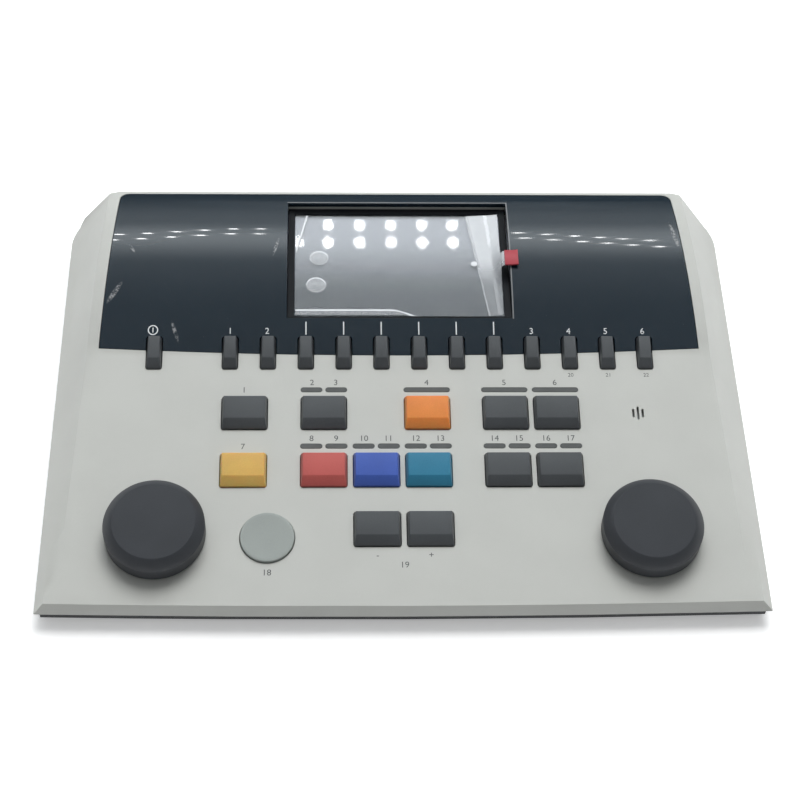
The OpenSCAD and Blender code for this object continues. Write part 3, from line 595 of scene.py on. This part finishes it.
# %% Rounding a copy of a CAD shape
def skin(node, name, round_mm, segments=2, sharp=30):
    piece = cad[node].copy()
    piece.data = cad[node].data.copy()
    piece.name = name
    piece.parent = None
    for key in list(piece.keys()):
        del piece[key]
    scene.collection.objects.link(piece)
    alone(piece)
    bpy.ops.object.mode_set(mode="EDIT")
    bpy.ops.mesh.select_all(action="SELECT")
    bpy.ops.mesh.remove_doubles(threshold=0.01 * MM)
    bpy.ops.mesh.dissolve_limited(angle_limit=math.radians(0.4))
    bpy.ops.object.mode_set(mode="OBJECT")
    soften(piece, round_mm, segments, sharp, 35)
    weigh = piece.modifiers.new("flat_faces_first", "WEIGHTED_NORMAL")
    weigh.keep_sharp = True
    bpy.ops.object.modifier_apply(modifier=weigh.name)
    print(name, len(piece.data.polygons), "faces")
    return piece


# %% [markdown]
# ## Shell and tray
# The pale shell is a fine-grained ABS, a touch warm, with faint patches
# where hands rest on it. The tray under it is the same plastic in charcoal.

# %% Shell and tray
shell_grey = moulded("shell_grey", (0.50, 0.505, 0.478, 1), rough=0.48, grain_mm=0.35,
                     grain_depth=0.010, mottle=0.022, dust=0.02)
base_grey = moulded("tray_charcoal", (0.035, 0.037, 0.04, 1), rough=0.55, grain_mm=0.5,
                    grain_depth=0.02, mottle=0.10, dust=0.10)
finished(skin("upper_shell", "shell", 0.35), shell_grey, "console", "upper_shell")
finished(skin("base_shell", "tray", 0.4), base_grey, "console", "base_shell")
finished(skin("connector_plate", "socket_plate", 0.25), base_grey, "console", "connector_plate")

# %% [markdown]
# ## The dark display panel
# The panel is a bent sheet of black acrylic, blue in its depth. Nothing
# shows gloss better than its faults: wiping leaves hazy patches, dust lies
# on it, and a few milky scuffs catch the light. The haze changes only the
# roughness. The scuffs are ellipses, cut up by fine noise.

# %% Glossy panel
panel = Finish("panel_gloss")
panel_x, panel_y = panel.axes()[:2]
haze = panel.noise(30, detail=4, rough=0.6).ramp(0.4, 0.75)
specks = panel.noise(0.8, detail=3, rough=0.6).ramp(0.74, 0.80)


def scuff(x, y, length, width, degrees):
    """A milky mark, as a share from 0 to 1."""
    c, s = math.cos(math.radians(degrees)), math.sin(math.radians(degrees))
    along = ((panel_x - x) * c + (panel_y - y) * s) / (length / 2)
    across = ((panel_y - y) * c - (panel_x - x) * s) / (width / 2)
    return (along * along + across * across).ramp(1.0, 0.2)


# Place, length, width and direction of each
SCUFFS = ((-124.5, 42.6, 13.5, 2.6, 60), (-97.6, 24.2, 11, 2.0, 108),
          (-54.5, 67, 12, 1.8, 76), (124.3, 74.7, 18, 2.4, 100), (-118, 66, 6, 1.6, 120))
marks = scuff(*SCUFFS[0])
for scuff_place in SCUFFS[1:]:
    marks = marks.most(scuff(*scuff_place))
marks = marks * panel.noise(1.6, detail=4, rough=0.7).ramp(0.38, 0.62)
# A thin painted highlight runs along the rear and the right edge of the window.
EDGE_X, EDGE_Y = 49.7, 95.75
side_edge_highlight = (panel_x - EDGE_X).absolute().ramp(0.45, 0.1)
side_edge_highlight = side_edge_highlight * panel_y.ramp(96.3, 96.0) * panel_y.ramp(30, 30.4)
rear_edge_highlight = (panel_y - EDGE_Y).absolute().ramp(0.45, 0.1) * panel_x.absolute().ramp(49.9, 49.5)
# Here the painted edge highlights join the scuffs in marks, so marks paints both from now on.
marks = marks.most(side_edge_highlight * 0.8).most(rear_edge_highlight * 0.7)
panel_tone = panel.blend(panel.noise(60, detail=2),
                         (0.006, 0.014, 0.022, 1), (0.010, 0.020, 0.030, 1))
panel_tone = panel.blend(marks * 0.42, panel_tone, grey(0.55))
panel_tone = panel.blend(specks * 0.25, panel_tone, grey(0.5))
panel.set(base_color=panel_tone, roughness=0.025 + haze * 0.035 + marks * 0.35,
          normal=panel.bump(panel.noise(45, detail=1), 0.05))
finished(skin("display_fascia", "panel", 0.3), panel.material, "console", "display_fascia")

# %% [markdown]
# ## The display
# From the top down it is a black frame, a sheet of glass and the panel of
# liquid crystal. It is off. Its colour is a painted reflection of the bright
# room: pale blue-grey at the back and darker towards the viewer. That
# gradient is painted along the display's length.

# %% Frame, glass and liquid crystal
# Middle of the display's plane, and its tilt
DISPLAY_Y, DISPLAY_Z, DISPLAY_LEAN = 62.858, 35.525, math.radians(0.173)


def lay_on_display(piece, u=0.0, v=0.0, h=0.0):
    c, s = math.cos(DISPLAY_LEAN), math.sin(DISPLAY_LEAN)
    piece.location = Vector((u, DISPLAY_Y + v * c - h * s, DISPLAY_Z + v * s + h * c)) * MM
    piece.rotation_euler = (DISPLAY_LEAN, 0, 0)
    return settle(piece)


frame_black = moulded("frame_black", (0.008, 0.009, 0.011, 1), rough=0.40, grain_mm=0.3,
                      grain_depth=0.006, mottle=0.1, dust=0.04)
frame_black.node_tree.nodes["Principled BSDF"].inputs["Specular IOR Level"].default_value = 0.12
finished(skin("display_frame", "bezel", 0.15), frame_black, "console", "display_frame")

crystal = Finish("liquid_crystal")
crystal_y = crystal.axes()[1] - DISPLAY_Y
# The gradient is a painted reflection of the bright room, pale at the back and dark towards the viewer.
painted_reflection_share = crystal_y.ramp(-24, 20) ** 1.3
crystal_tone_and_reflection = crystal.blend(painted_reflection_share, (0.026, 0.039, 0.054, 1), (0.64, 0.68, 0.75, 1))
cloudy = crystal.noise(14, detail=3)
crystal_tone_and_reflection = crystal.blend(cloudy * 0.05, crystal_tone_and_reflection, grey(0.3))
crystal.set(base_color=crystal_tone_and_reflection, roughness=0.45 + cloudy * 0.1,
            specular_ior_level=0.15, normal=crystal.bump(crystal.noise(3, detail=1), 0.001))
finished(skin("lcd_module", "crystal_panel", 0.2), crystal.material, "console", "lcd_module")

glass = Finish("cover_glass")
glass.set(base_color=glass.blend(glass.noise(20), (0.02, 0.026, 0.03, 1), (0.03, 0.036, 0.04, 1)),
          roughness=0.01 + glass.noise(12, detail=4) * 0.02, ior=2.2, alpha=0.18)
finished(skin("display_glass", "cover_glass", 0.1), glass.material, "console", "display_glass")

# %% [markdown]
# ## The protective film
# A new display still wears its film. It has come loose on the right, where
# the red tab pulls it up, and two bubbles and a few creases show. A grid is
# laid on the glass, and each of its points is raised by what happens there.
# Then the sheet gets its thickness. The same lines are used again in its
# finish. A creased film turns milky along the fold, and the finish also
# paints highlights there, brighter towards the back. It paints them on the
# lifted strip and on the rear rims of the bubbles as well.

# %% Film
FILM_W, FILM_V0, FILM_V1, FILM_H = 91.1, -30.7, 28.6, -2.52
FILM_END, FILM_MID = FILM_W / 2, (FILM_V0 + FILM_V1) / 2
TAB_V, TAB_LIFT = -2.4, 3.5
LIP_V = -27.4
# Place, radius, height and milkiness of each bubble; the milk is partly a painted reflection
BUBBLES = ((-35.3, 2.9, 4.2, 0.55, 0.24), (-36.6, -13.0, 4.4, 0.5, 0.20),
           (33.9, -0.5, 1.5, 0.4, 0.75))


def smooth_step(value):
    value = min(1, max(0, value))
    return value * value * (3 - 2 * value)


# These lines take numbers here, and wires in the finish.
def rise_line(v):
    """Where the film starts to rise on the right."""
    return 32.2 + (22.5 - v) * 0.139


def crease_line(v):
    """Where it folds."""
    return 39.9 + (30.6 - v) * 0.0668


def past_corner(u, v):
    """How far a point lies beyond the fold of the rear left corner."""
    return (-40.4 - u) - (30.3 - v) * 0.2185


def film_height(u, v):
    start, crease = rise_line(v), crease_line(v)
    pull = math.exp(-((v - TAB_V) / 8.5) ** 2)
    rise = 0.5 * smooth_step((u - start) / (crease - start))
    rise += (0.7 + 4.6 * pull) * max(0.0, (u - crease) / (FILM_END - crease)) ** 1.3
    rise += 0.9 * smooth_step(past_corner(u, v) / 6) if v > 2 else 0.0
    rise += 0.7 * smooth_step((LIP_V - v) / 3) * smooth_step((6 - u) / 5)
    for bu, bv, radius, height, _ in BUBBLES:
        near = 1 - ((u - bu) ** 2 + (v - bv) ** 2) / radius ** 2
        rise += height * max(0.0, near) ** 0.6
    return rise


bpy.ops.object.select_all(action="DESELECT")
bpy.ops.mesh.primitive_grid_add(x_subdivisions=150, y_subdivisions=98, size=1)
film = bpy.context.object
film.name = "loose_film"
film.scale = Vector((FILM_W, FILM_V1 - FILM_V0, 1)) * MM
settle(film)
bpy.ops.object.mode_set(mode="EDIT")
pick("EDGE", lambda at: (at.x > (FILM_END - 0.001) * MM
                         and abs(at.y / MM + FILM_MID - TAB_V) < 4.4))
for step in range(5):
    bpy.ops.mesh.extrude_region_move(TRANSFORM_OT_translate={"value": (0.9 * MM, 0, 0)})
bpy.ops.object.mode_set(mode="OBJECT")
for corner in film.data.vertices:
    u, v = corner.co.x / MM, corner.co.y / MM + FILM_MID
    corner.co.z = min(film_height(u, v), TAB_LIFT - FILM_H) * MM
thick = film.modifiers.new("film_thickness", "SOLIDIFY")
thick.thickness = 0.08 * MM
thick.offset = 0
alone(film)
bpy.ops.object.modifier_apply(modifier=thick.name)
bpy.ops.object.shade_smooth_by_angle(angle=math.radians(50))
lay_on_display(film, 0, FILM_MID, FILM_H)
print("film:", len(film.data.polygons), "faces")

# %% Film finish
clear = Finish("clear_film")
film_u, film_y = clear.axes()[:2]
film_v = film_y - DISPLAY_Y
past_rise = film_u - rise_line(film_v)
past_crease = film_u - crease_line(film_v)
# The lifted strip gets a painted glare, stronger towards the back.
lifted_strip_glare = past_rise.ramp(-0.4, 1.2) * (0.08 + film_v.ramp(-14, 4) * 0.34)
grain = clear.noise(3.5, detail=4, rough=0.6)
first_fold = (past_rise + (grain - 0.5) * 0.8).absolute().ramp(0.6, 0.1)
crease_milk_and_highlight = (past_crease + (grain - 0.5) * 1.2).absolute().ramp(1.6, 0.3)
# Along the crease the film is milky, with a painted highlight that grows towards the back.
crease_milk_and_highlight = crease_milk_and_highlight * (0.22 + film_v.ramp(4, 14) * 0.78)
corner_fold = past_corner(film_u, film_v).absolute().ramp(0.7, 0.1) * film_v.ramp(4, 8)
lip_line = film_v - LIP_V + film_u.ramp(-4, 8) * 3.5
# Along the bottom fold runs a milky line, with a bright strip painted between it and the edge.
lip_fold_and_glare = lip_line.absolute().ramp(0.7, 0.2) * 0.55 + lip_line.ramp(0.3, -0.4) * 0.14
# The milk holds the film's own milkiness together with the painted highlights and glare.
milk_and_highlight = lifted_strip_glare.most(crease_milk_and_highlight * 0.8).most(first_fold * 0.24).most(corner_fold * 0.7)
milk_and_highlight = milk_and_highlight.most(lip_fold_and_glare * film_u.ramp(9, 5))
for bu, bv, radius, height, fill in BUBBLES:
    from_middle = ((film_u - bu) * (film_u - bu) + (film_v - bv) * (film_v - bv)) / radius ** 2
    # Each bubble's rim gets a painted highlight, brighter on its rear side.
    bubble_rim_highlight = (from_middle - 0.85).absolute().ramp(0.30, 0.05) * (0.3 + (film_v - bv).ramp(-1, radius) * 0.5)
    milk_and_highlight = milk_and_highlight.most(from_middle.ramp(1.1, 0.75) * fill).most(bubble_rim_highlight)
clear.set(base_color=clear.blend(grain, (0.80, 0.83, 0.87, 1), (0.92, 0.94, 0.96, 1)),
          roughness=0.04 + milk_and_highlight * 0.25, alpha=0.03 + milk_and_highlight * 0.92)
finished(film, clear.material, "console", "screen_film")

# %% [markdown]
# ## The red pull tab
# A short strip of red plastic, stuck on the film's edge. It starts as a
# flat block. Cuts across it let its free end curl up a little, and then
# its edges are rounded.

# %% Pull tab
bpy.ops.object.select_all(action="DESELECT")
bpy.ops.mesh.primitive_cube_add(size=1)
tab = bpy.context.object
tab.name = "red_tab"
TAB_L, TAB_W, TAB_T, TAB_U, TAB_CUTS = 6.0, 8.6, 0.8, 50.05, 7
tab.scale = Vector((TAB_L, TAB_W, TAB_T)) * MM
settle(tab)
bpy.ops.object.mode_set(mode="EDIT")
for step in range(1, TAB_CUTS + 1):
    bpy.ops.mesh.select_all(action="SELECT")
    cut_x = (step / (TAB_CUTS + 1) - 0.5) * TAB_L
    bpy.ops.mesh.bisect(plane_co=(cut_x * MM, 0, 0), plane_no=(1, 0, 0))
bpy.ops.object.mode_set(mode="OBJECT")
for corner in tab.data.vertices:
    free = max(0, corner.co.x / MM + 1) / 4
    corner.co.z += 0.45 * free ** 2 * MM
soften(tab, 0.15, 2, 50, 40)
lay_on_display(tab, TAB_U, TAB_V, TAB_LIFT + 0.5)
red = Finish("tab_red")
red_cloud = red.noise(3, detail=3)
red.set(base_color=red.blend(red_cloud, (0.34, 0.034, 0.048, 1), (0.40, 0.048, 0.064, 1)),
        roughness=0.35 + red_cloud * 0.1, normal=red.bump(red.noise(0.6, detail=2), 0.01))
finished(tab, red.material, "console", "film_tab")

# %% [markdown]
# ## Indicator windows and microphone
# The bars over the buttons are smoked light pipes. With the light off they
# are a dull grey, a bit glossier than the case. Behind the three slots sits
# the round metal can of a microphone.

# %% Small fittings of the keypad
smoke = Finish("smoked_pipe")
smoke_cloud = smoke.noise(4, detail=2)
smoke.set(base_color=smoke.blend(smoke_cloud, (0.080, 0.084, 0.083, 1), (0.098, 0.102, 0.100, 1)),
          roughness=0.32 + smoke_cloud * 0.08, normal=smoke.bump(smoke.noise(0.8), 0.004))
finished(skin("indicator_windows", "smoked_bars", 0.12), smoke.material, "console",
         "indicator_windows")


def metal(name, colour, rough=0.30, brushed_mm=(6, 0.3, 0.3)):
    """Plated or brushed metal: fine lines along X, and duller where it has aged."""
    finish = Finish(name)
    stretch = finish.add("ShaderNodeMapping", {}, {"Vector": finish.place,
                         "Scale": tuple(1 / size for size in brushed_mm)})
    lines = finish.noise(1, detail=2, at=stretch)
    age = finish.noise(5, detail=4, rough=0.65)
    dull = [c * 0.72 for c in colour[:3]] + [1]
    finish.set(base_color=finish.blend(age.ramp(0.45, 0.75) * 0.6, colour, dull), metallic=1.0,
               roughness=rough + lines * 0.08 + age.ramp(0.5, 0.8) * 0.12,
               normal=finish.bump(lines, 0.003))
    return finish.material


nickel = metal("nickel", (0.62, 0.61, 0.58, 1), 0.26)
steel = metal("zinc_steel", (0.52, 0.53, 0.54, 1), 0.32)
brass = metal("brass", (0.55, 0.42, 0.20, 1), 0.30)
finished(skin("microphone", "microphone_can", 0.3), steel, "console", "microphone")

# %% [markdown]
# ## Sockets, screws and feet
# The back holds nine 6.35 mm jacks with hexagonal nuts, a square socket and
# a low-voltage inlet. The bodies are black nylon, the nuts are nickel, and
# the socket's can is folded steel. The feet are soft rubber with a little
# grit on them.

# %% Rear and underside
nylon = moulded("black_nylon", (0.020, 0.020, 0.022, 1), rough=0.42, grain_mm=0.4,
                grain_depth=0.01, mottle=0.12, dust=0.08)
rubber = moulded("foot_rubber", (0.028, 0.028, 0.027, 1), rough=0.78, grain_mm=0.7,
                 grain_depth=0.03, mottle=0.2, dust=0.22)
for node, name, round_mm, finish in (
        ("jack_sockets", "jacks", 0.3, nylon), ("jack_nuts", "jack_nuts_nickel", 0.35, nickel),
        ("usb_socket", "square_socket", 0.2, steel), ("power_inlet", "inlet", 0.25, nylon),
        ("rubber_feet", "feet", 0.7, rubber), ("board_screws", "screws_inside", 0.2, steel)):
    finished(skin(node, name, round_mm), finish, "console", node)

# %% [markdown]
# ## Inside
# What the case hides is finished too, for whoever opens it: two boards
# under green solder mask with gold pads, black switches, the zinc cans of
# the encoders, brass nuts and pale lights.

# %% Boards and what they carry
mask = Finish("solder_mask")
weave = mask.noise(0.7, detail=1)
tracks = mask.add("ShaderNodeTexBrick", {"offset": 0.37, "squash": 1.6, "squash_frequency": 3},
                  {"Vector": mask.place, "Scale": 95.0, "Mortar Size": 0.035,
                   "Brick Width": 0.9, "Row Height": 0.22}, 1)
pads = mask.add("ShaderNodeTexVoronoi", {}, {"Vector": mask.place, "Scale": 190.0}).ramp(0.22, 0.18)
mask_tone = mask.blend(tracks, (0.010, 0.085, 0.035, 1), (0.020, 0.150, 0.060, 1))
mask_tone = mask.blend(pads, mask_tone, (0.50, 0.36, 0.12, 1))
mask.set(base_color=mask_tone, metallic=pads * 0.9, roughness=0.30 + weave * 0.1,
         normal=mask.bump(tracks + pads, 0.03))

light_pipe = Finish("led_lens")
lens_cloud = light_pipe.noise(1.2)
light_pipe.set(base_color=light_pipe.blend(lens_cloud, (0.70, 0.62, 0.25, 1), (0.80, 0.74, 0.40, 1)),
               roughness=0.25 + lens_cloud * 0.1)

for node, name, round_mm, finish in (
        ("key_board", "keypad_board", 0.15, mask.material),
        ("main_board", "socket_board", 0.15, mask.material),
        ("key_switches", "switches_small", 0.25, nylon),
        ("button_switches", "switches_large", 0.25, nylon),
        ("round_switch_body", "switch_round", 0.25, nylon),
        ("encoder_left", "encoder_can_left", 0.3, steel),
        ("encoder_right", "encoder_can_right", 0.3, steel),
        ("encoder_nuts", "encoder_nuts_brass", 0.3, brass),
        ("indicator_leds", "lights", 0.1, light_pipe.material)):
    finished(skin(node, name, round_mm), finish, "console", node)
for side in ("left", "right"):
    finished(skin("dial_shaft_" + side, "spindle_" + side, 0.3), steel, side + "_dial",
             "dial_shaft_" + side)

# %% [markdown]
# ## Case screws
# Six pan-head screws hold the tray from below. One is modelled: the head's
# rim is rounded, and a cross is sunk into it with the boolean tool, as the
# driver's punch does. Its copies go to the six bosses.

# %% Case screws
SCREW_PLACES = ((-127, -75), (127, -75), (-127, -6), (127, -6), (-122, 68), (122, 68))
HEAD_Z, HEAD_R, HEAD_T, SHANK_R, SHANK_TOP, POINT_L = 3.5, 2.8, 2.0, 1.45, 12.6, 1.0
head = turned("case_screw", HEAD_R, HEAD_Z, HEAD_Z + HEAD_T, 40)
bpy.ops.object.mode_set(mode="EDIT")
pick("EDGE", lambda at: at.z < (HEAD_Z + 0.01) * MM)
bpy.ops.mesh.bevel(offset=0.7 * MM, segments=5, affect="EDGES")
pick("FACE", lambda at, normal: normal.z > 0.999)
bpy.ops.mesh.inset(thickness=(HEAD_R - SHANK_R) * MM)
bpy.ops.mesh.extrude_region_move(
    TRANSFORM_OT_translate={"value": (0, 0, (SHANK_TOP - HEAD_Z - HEAD_T - POINT_L) * MM)})
bpy.ops.mesh.extrude_region_move(TRANSFORM_OT_translate={"value": (0, 0, POINT_L * MM)})
bpy.ops.transform.resize(value=(0.35, 0.35, 1))
bpy.ops.object.mode_set(mode="OBJECT")
for turn in (0, 90):
    bpy.ops.object.select_all(action="DESELECT")
    bpy.ops.mesh.primitive_cube_add(size=1, location=(0, 0, (HEAD_Z + 0.35) * MM),
                                    rotation=(0, 0, math.radians(turn)))
    cutter = bpy.context.object
    cutter.scale = Vector((3.0, 0.75, 1.5)) * MM
    cut = head.modifiers.new("cross", "BOOLEAN")
    cut.operation = "DIFFERENCE"
    cut.object = cutter
    alone(head)
    bpy.ops.object.modifier_apply(modifier=cut.name)
    bpy.data.objects.remove(cutter)
soften(head, 0.08, 1, 50, 35)
screws = []
for x, y in SCREW_PLACES:
    screws.append(twin(head, "screw"))
    screws[-1].location = (x * MM, y * MM, 0)
    settle(screws[-1])
alone(screws[0])
for screw in screws:
    screw.select_set(True)
bpy.ops.object.join()
screws[0].name = "case_screws_steel"
bpy.data.objects.remove(head)
finished(screws[0], steel, "console", "case_screws")

# %% [markdown]
# ## Print on the case
# The marks are screen-printed: a grey ink on the pale case and a white one
# on the dark panel. Plain numbers stand where a control needs a mark. Each
# text is turned into a mesh as thin as ink. Those on the bent panel are
# laid on its arc point by point.

# %% Printing tools
# Axis and radius of the panel's arc, and the thickness of the ink
ARC_Y, ARC_Z, ARC_R = 72.091, -121.108, 160.217
INK = 0.012
CAPITAL = 0.70  # height of a figure, as a share of the text's size


def ink(name, colour, rough):
    finish = Finish(name)
    worn = finish.noise(0.5, detail=3, rough=0.7)
    faded = [c * 0.82 for c in colour[:3]] + [1]
    return finish.set(base_color=finish.blend(worn.ramp(0.45, 0.7), colour, faded),
                      roughness=rough + worn * 0.15)


def words(text, tall):
    """A short text, as flat ink around the origin."""
    bpy.ops.object.select_all(action="DESELECT")
    bpy.ops.object.text_add()
    made = bpy.context.object
    made.data.body = text
    made.data.size = tall / CAPITAL * MM
    made.data.align_x = "CENTER"
    made.data.align_y = "CENTER"
    made.data.extrude = INK / 2 * MM
    made.data.resolution_u = 4
    bpy.ops.object.convert(target="MESH")
    return bpy.context.object


def stroke(w, l, cuts=0):
    """A straight bar of ink."""
    bpy.ops.object.select_all(action="DESELECT")
    bpy.ops.mesh.primitive_cube_add(size=1)
    made = bpy.context.object
    made.scale = Vector((w, l, INK)) * MM
    settle(made)
    bpy.ops.object.mode_set(mode="EDIT")
    for step in range(1, cuts + 1):
        bpy.ops.mesh.select_all(action="SELECT")
        bpy.ops.mesh.bisect(plane_co=(0, (step / (cuts + 1) - 0.5) * l * MM, 0), plane_no=(0, 1, 0))
    bpy.ops.object.mode_set(mode="OBJECT")
    return made


def bend_on_panel(piece, x, y):
    """Lays flat ink on the arc of the panel, around a place."""
    piece.location = (x * MM, y * MM, 0)
    settle(piece)
    for corner in piece.data.vertices:
        arc = ARC_Z + math.sqrt(ARC_R ** 2 - (corner.co.y / MM - ARC_Y) ** 2)
        corner.co.z += (arc + INK) * MM
    return piece


def one_print(pieces, name, finish):
    alone(pieces[0])
    for piece in pieces:
        piece.select_set(True)
    bpy.ops.object.join()
    pieces[0].name = name
    print(name, len(pieces), "marks")
    return finished(pieces[0], finish, "console")


# %% White print on the dark panel
white = []
for slot in (-2.5, -1.5, -0.5, 0.5, 1.5, 2.5):
    white.append(bend_on_panel(stroke(0.5, 5.8, 5), slot * KEY_PITCH, 25.7))
for x, text in ((-73.7, "1"), (-57.7, "2"), (57.3, "3"), (73.5, "4"), (89.7, "5"), (105.9, "6")):
    white.append(bend_on_panel(words(text, 2.7), x, 24.3))
bpy.ops.object.select_all(action="DESELECT")
bpy.ops.mesh.primitive_torus_add(major_radius=2.0 * MM, minor_radius=0.24 * MM, major_segments=48,
                                 minor_segments=6)
ring = bpy.context.object
ring.scale = (1, 1, INK / 0.24 / 2)
settle(ring)
white.append(bend_on_panel(ring, -107.1, 24.8))
white.append(bend_on_panel(stroke(0.4, 2.2, 1), -107.1, 24.8))
one_print(white, "print_white", ink("white_ink", (0.72, 0.74, 0.75, 1), 0.5))

# %% Grey print on the keypad
dark = []
GREY_MARKS = (
    (-67.2, 100.9, "1"), (-38.2, 104.6, "2"), (-28.0, 104.6, "3"), (11, 104.6, "4"),
    (44.4, 104.6, "5"), (66.3, 104.6, "6"), (-67.2, 73.3, "7"), (-38.3, 77.2, "8"),
    (-27.9, 77.2, "9"), (-16.2, 77.2, "10"), (-5.8, 77.2, "11"), (5.8, 77.2, "12"),
    (16.2, 77.2, "13"), (39.2, 77.2, "14"), (49.6, 77.2, "15"), (61.1, 77.2, "16"),
    (71.5, 77.2, "17"), (-56.3, 14.9, "18"), (-11, 22.6, "-"), (11, 22.6, "+"), (0, 18.2, "19"))
for u, v, text in GREY_MARKS:
    dark.append(lay_on_pad(words(text, 2.7), u, v, INK / 2 + 0.004))
for u, text in ((73.5, "20"), (89.9, "21"), (106.3, "22")):
    dark.append(lay_on_pad(words(text, 1.8), u, 108.4, INK / 2 + 0.004))
one_print(dark, "print_grey", ink("grey_ink", (0.085, 0.088, 0.09, 1), 0.55))

# %% White numbers over the sockets
plate = []
for i in range(9):
    number = words(str(i + 1), 2.0)
    number.rotation_euler = (math.radians(90), 0, math.radians(180))
    number.location = Vector((-100 + 18.5 * i, 100.8 + INK / 2 + 0.004, 26.2)) * MM
    plate.append(settle(number))
one_print(plate, "print_sockets", ink("socket_ink", (0.60, 0.61, 0.61, 1), 0.55))
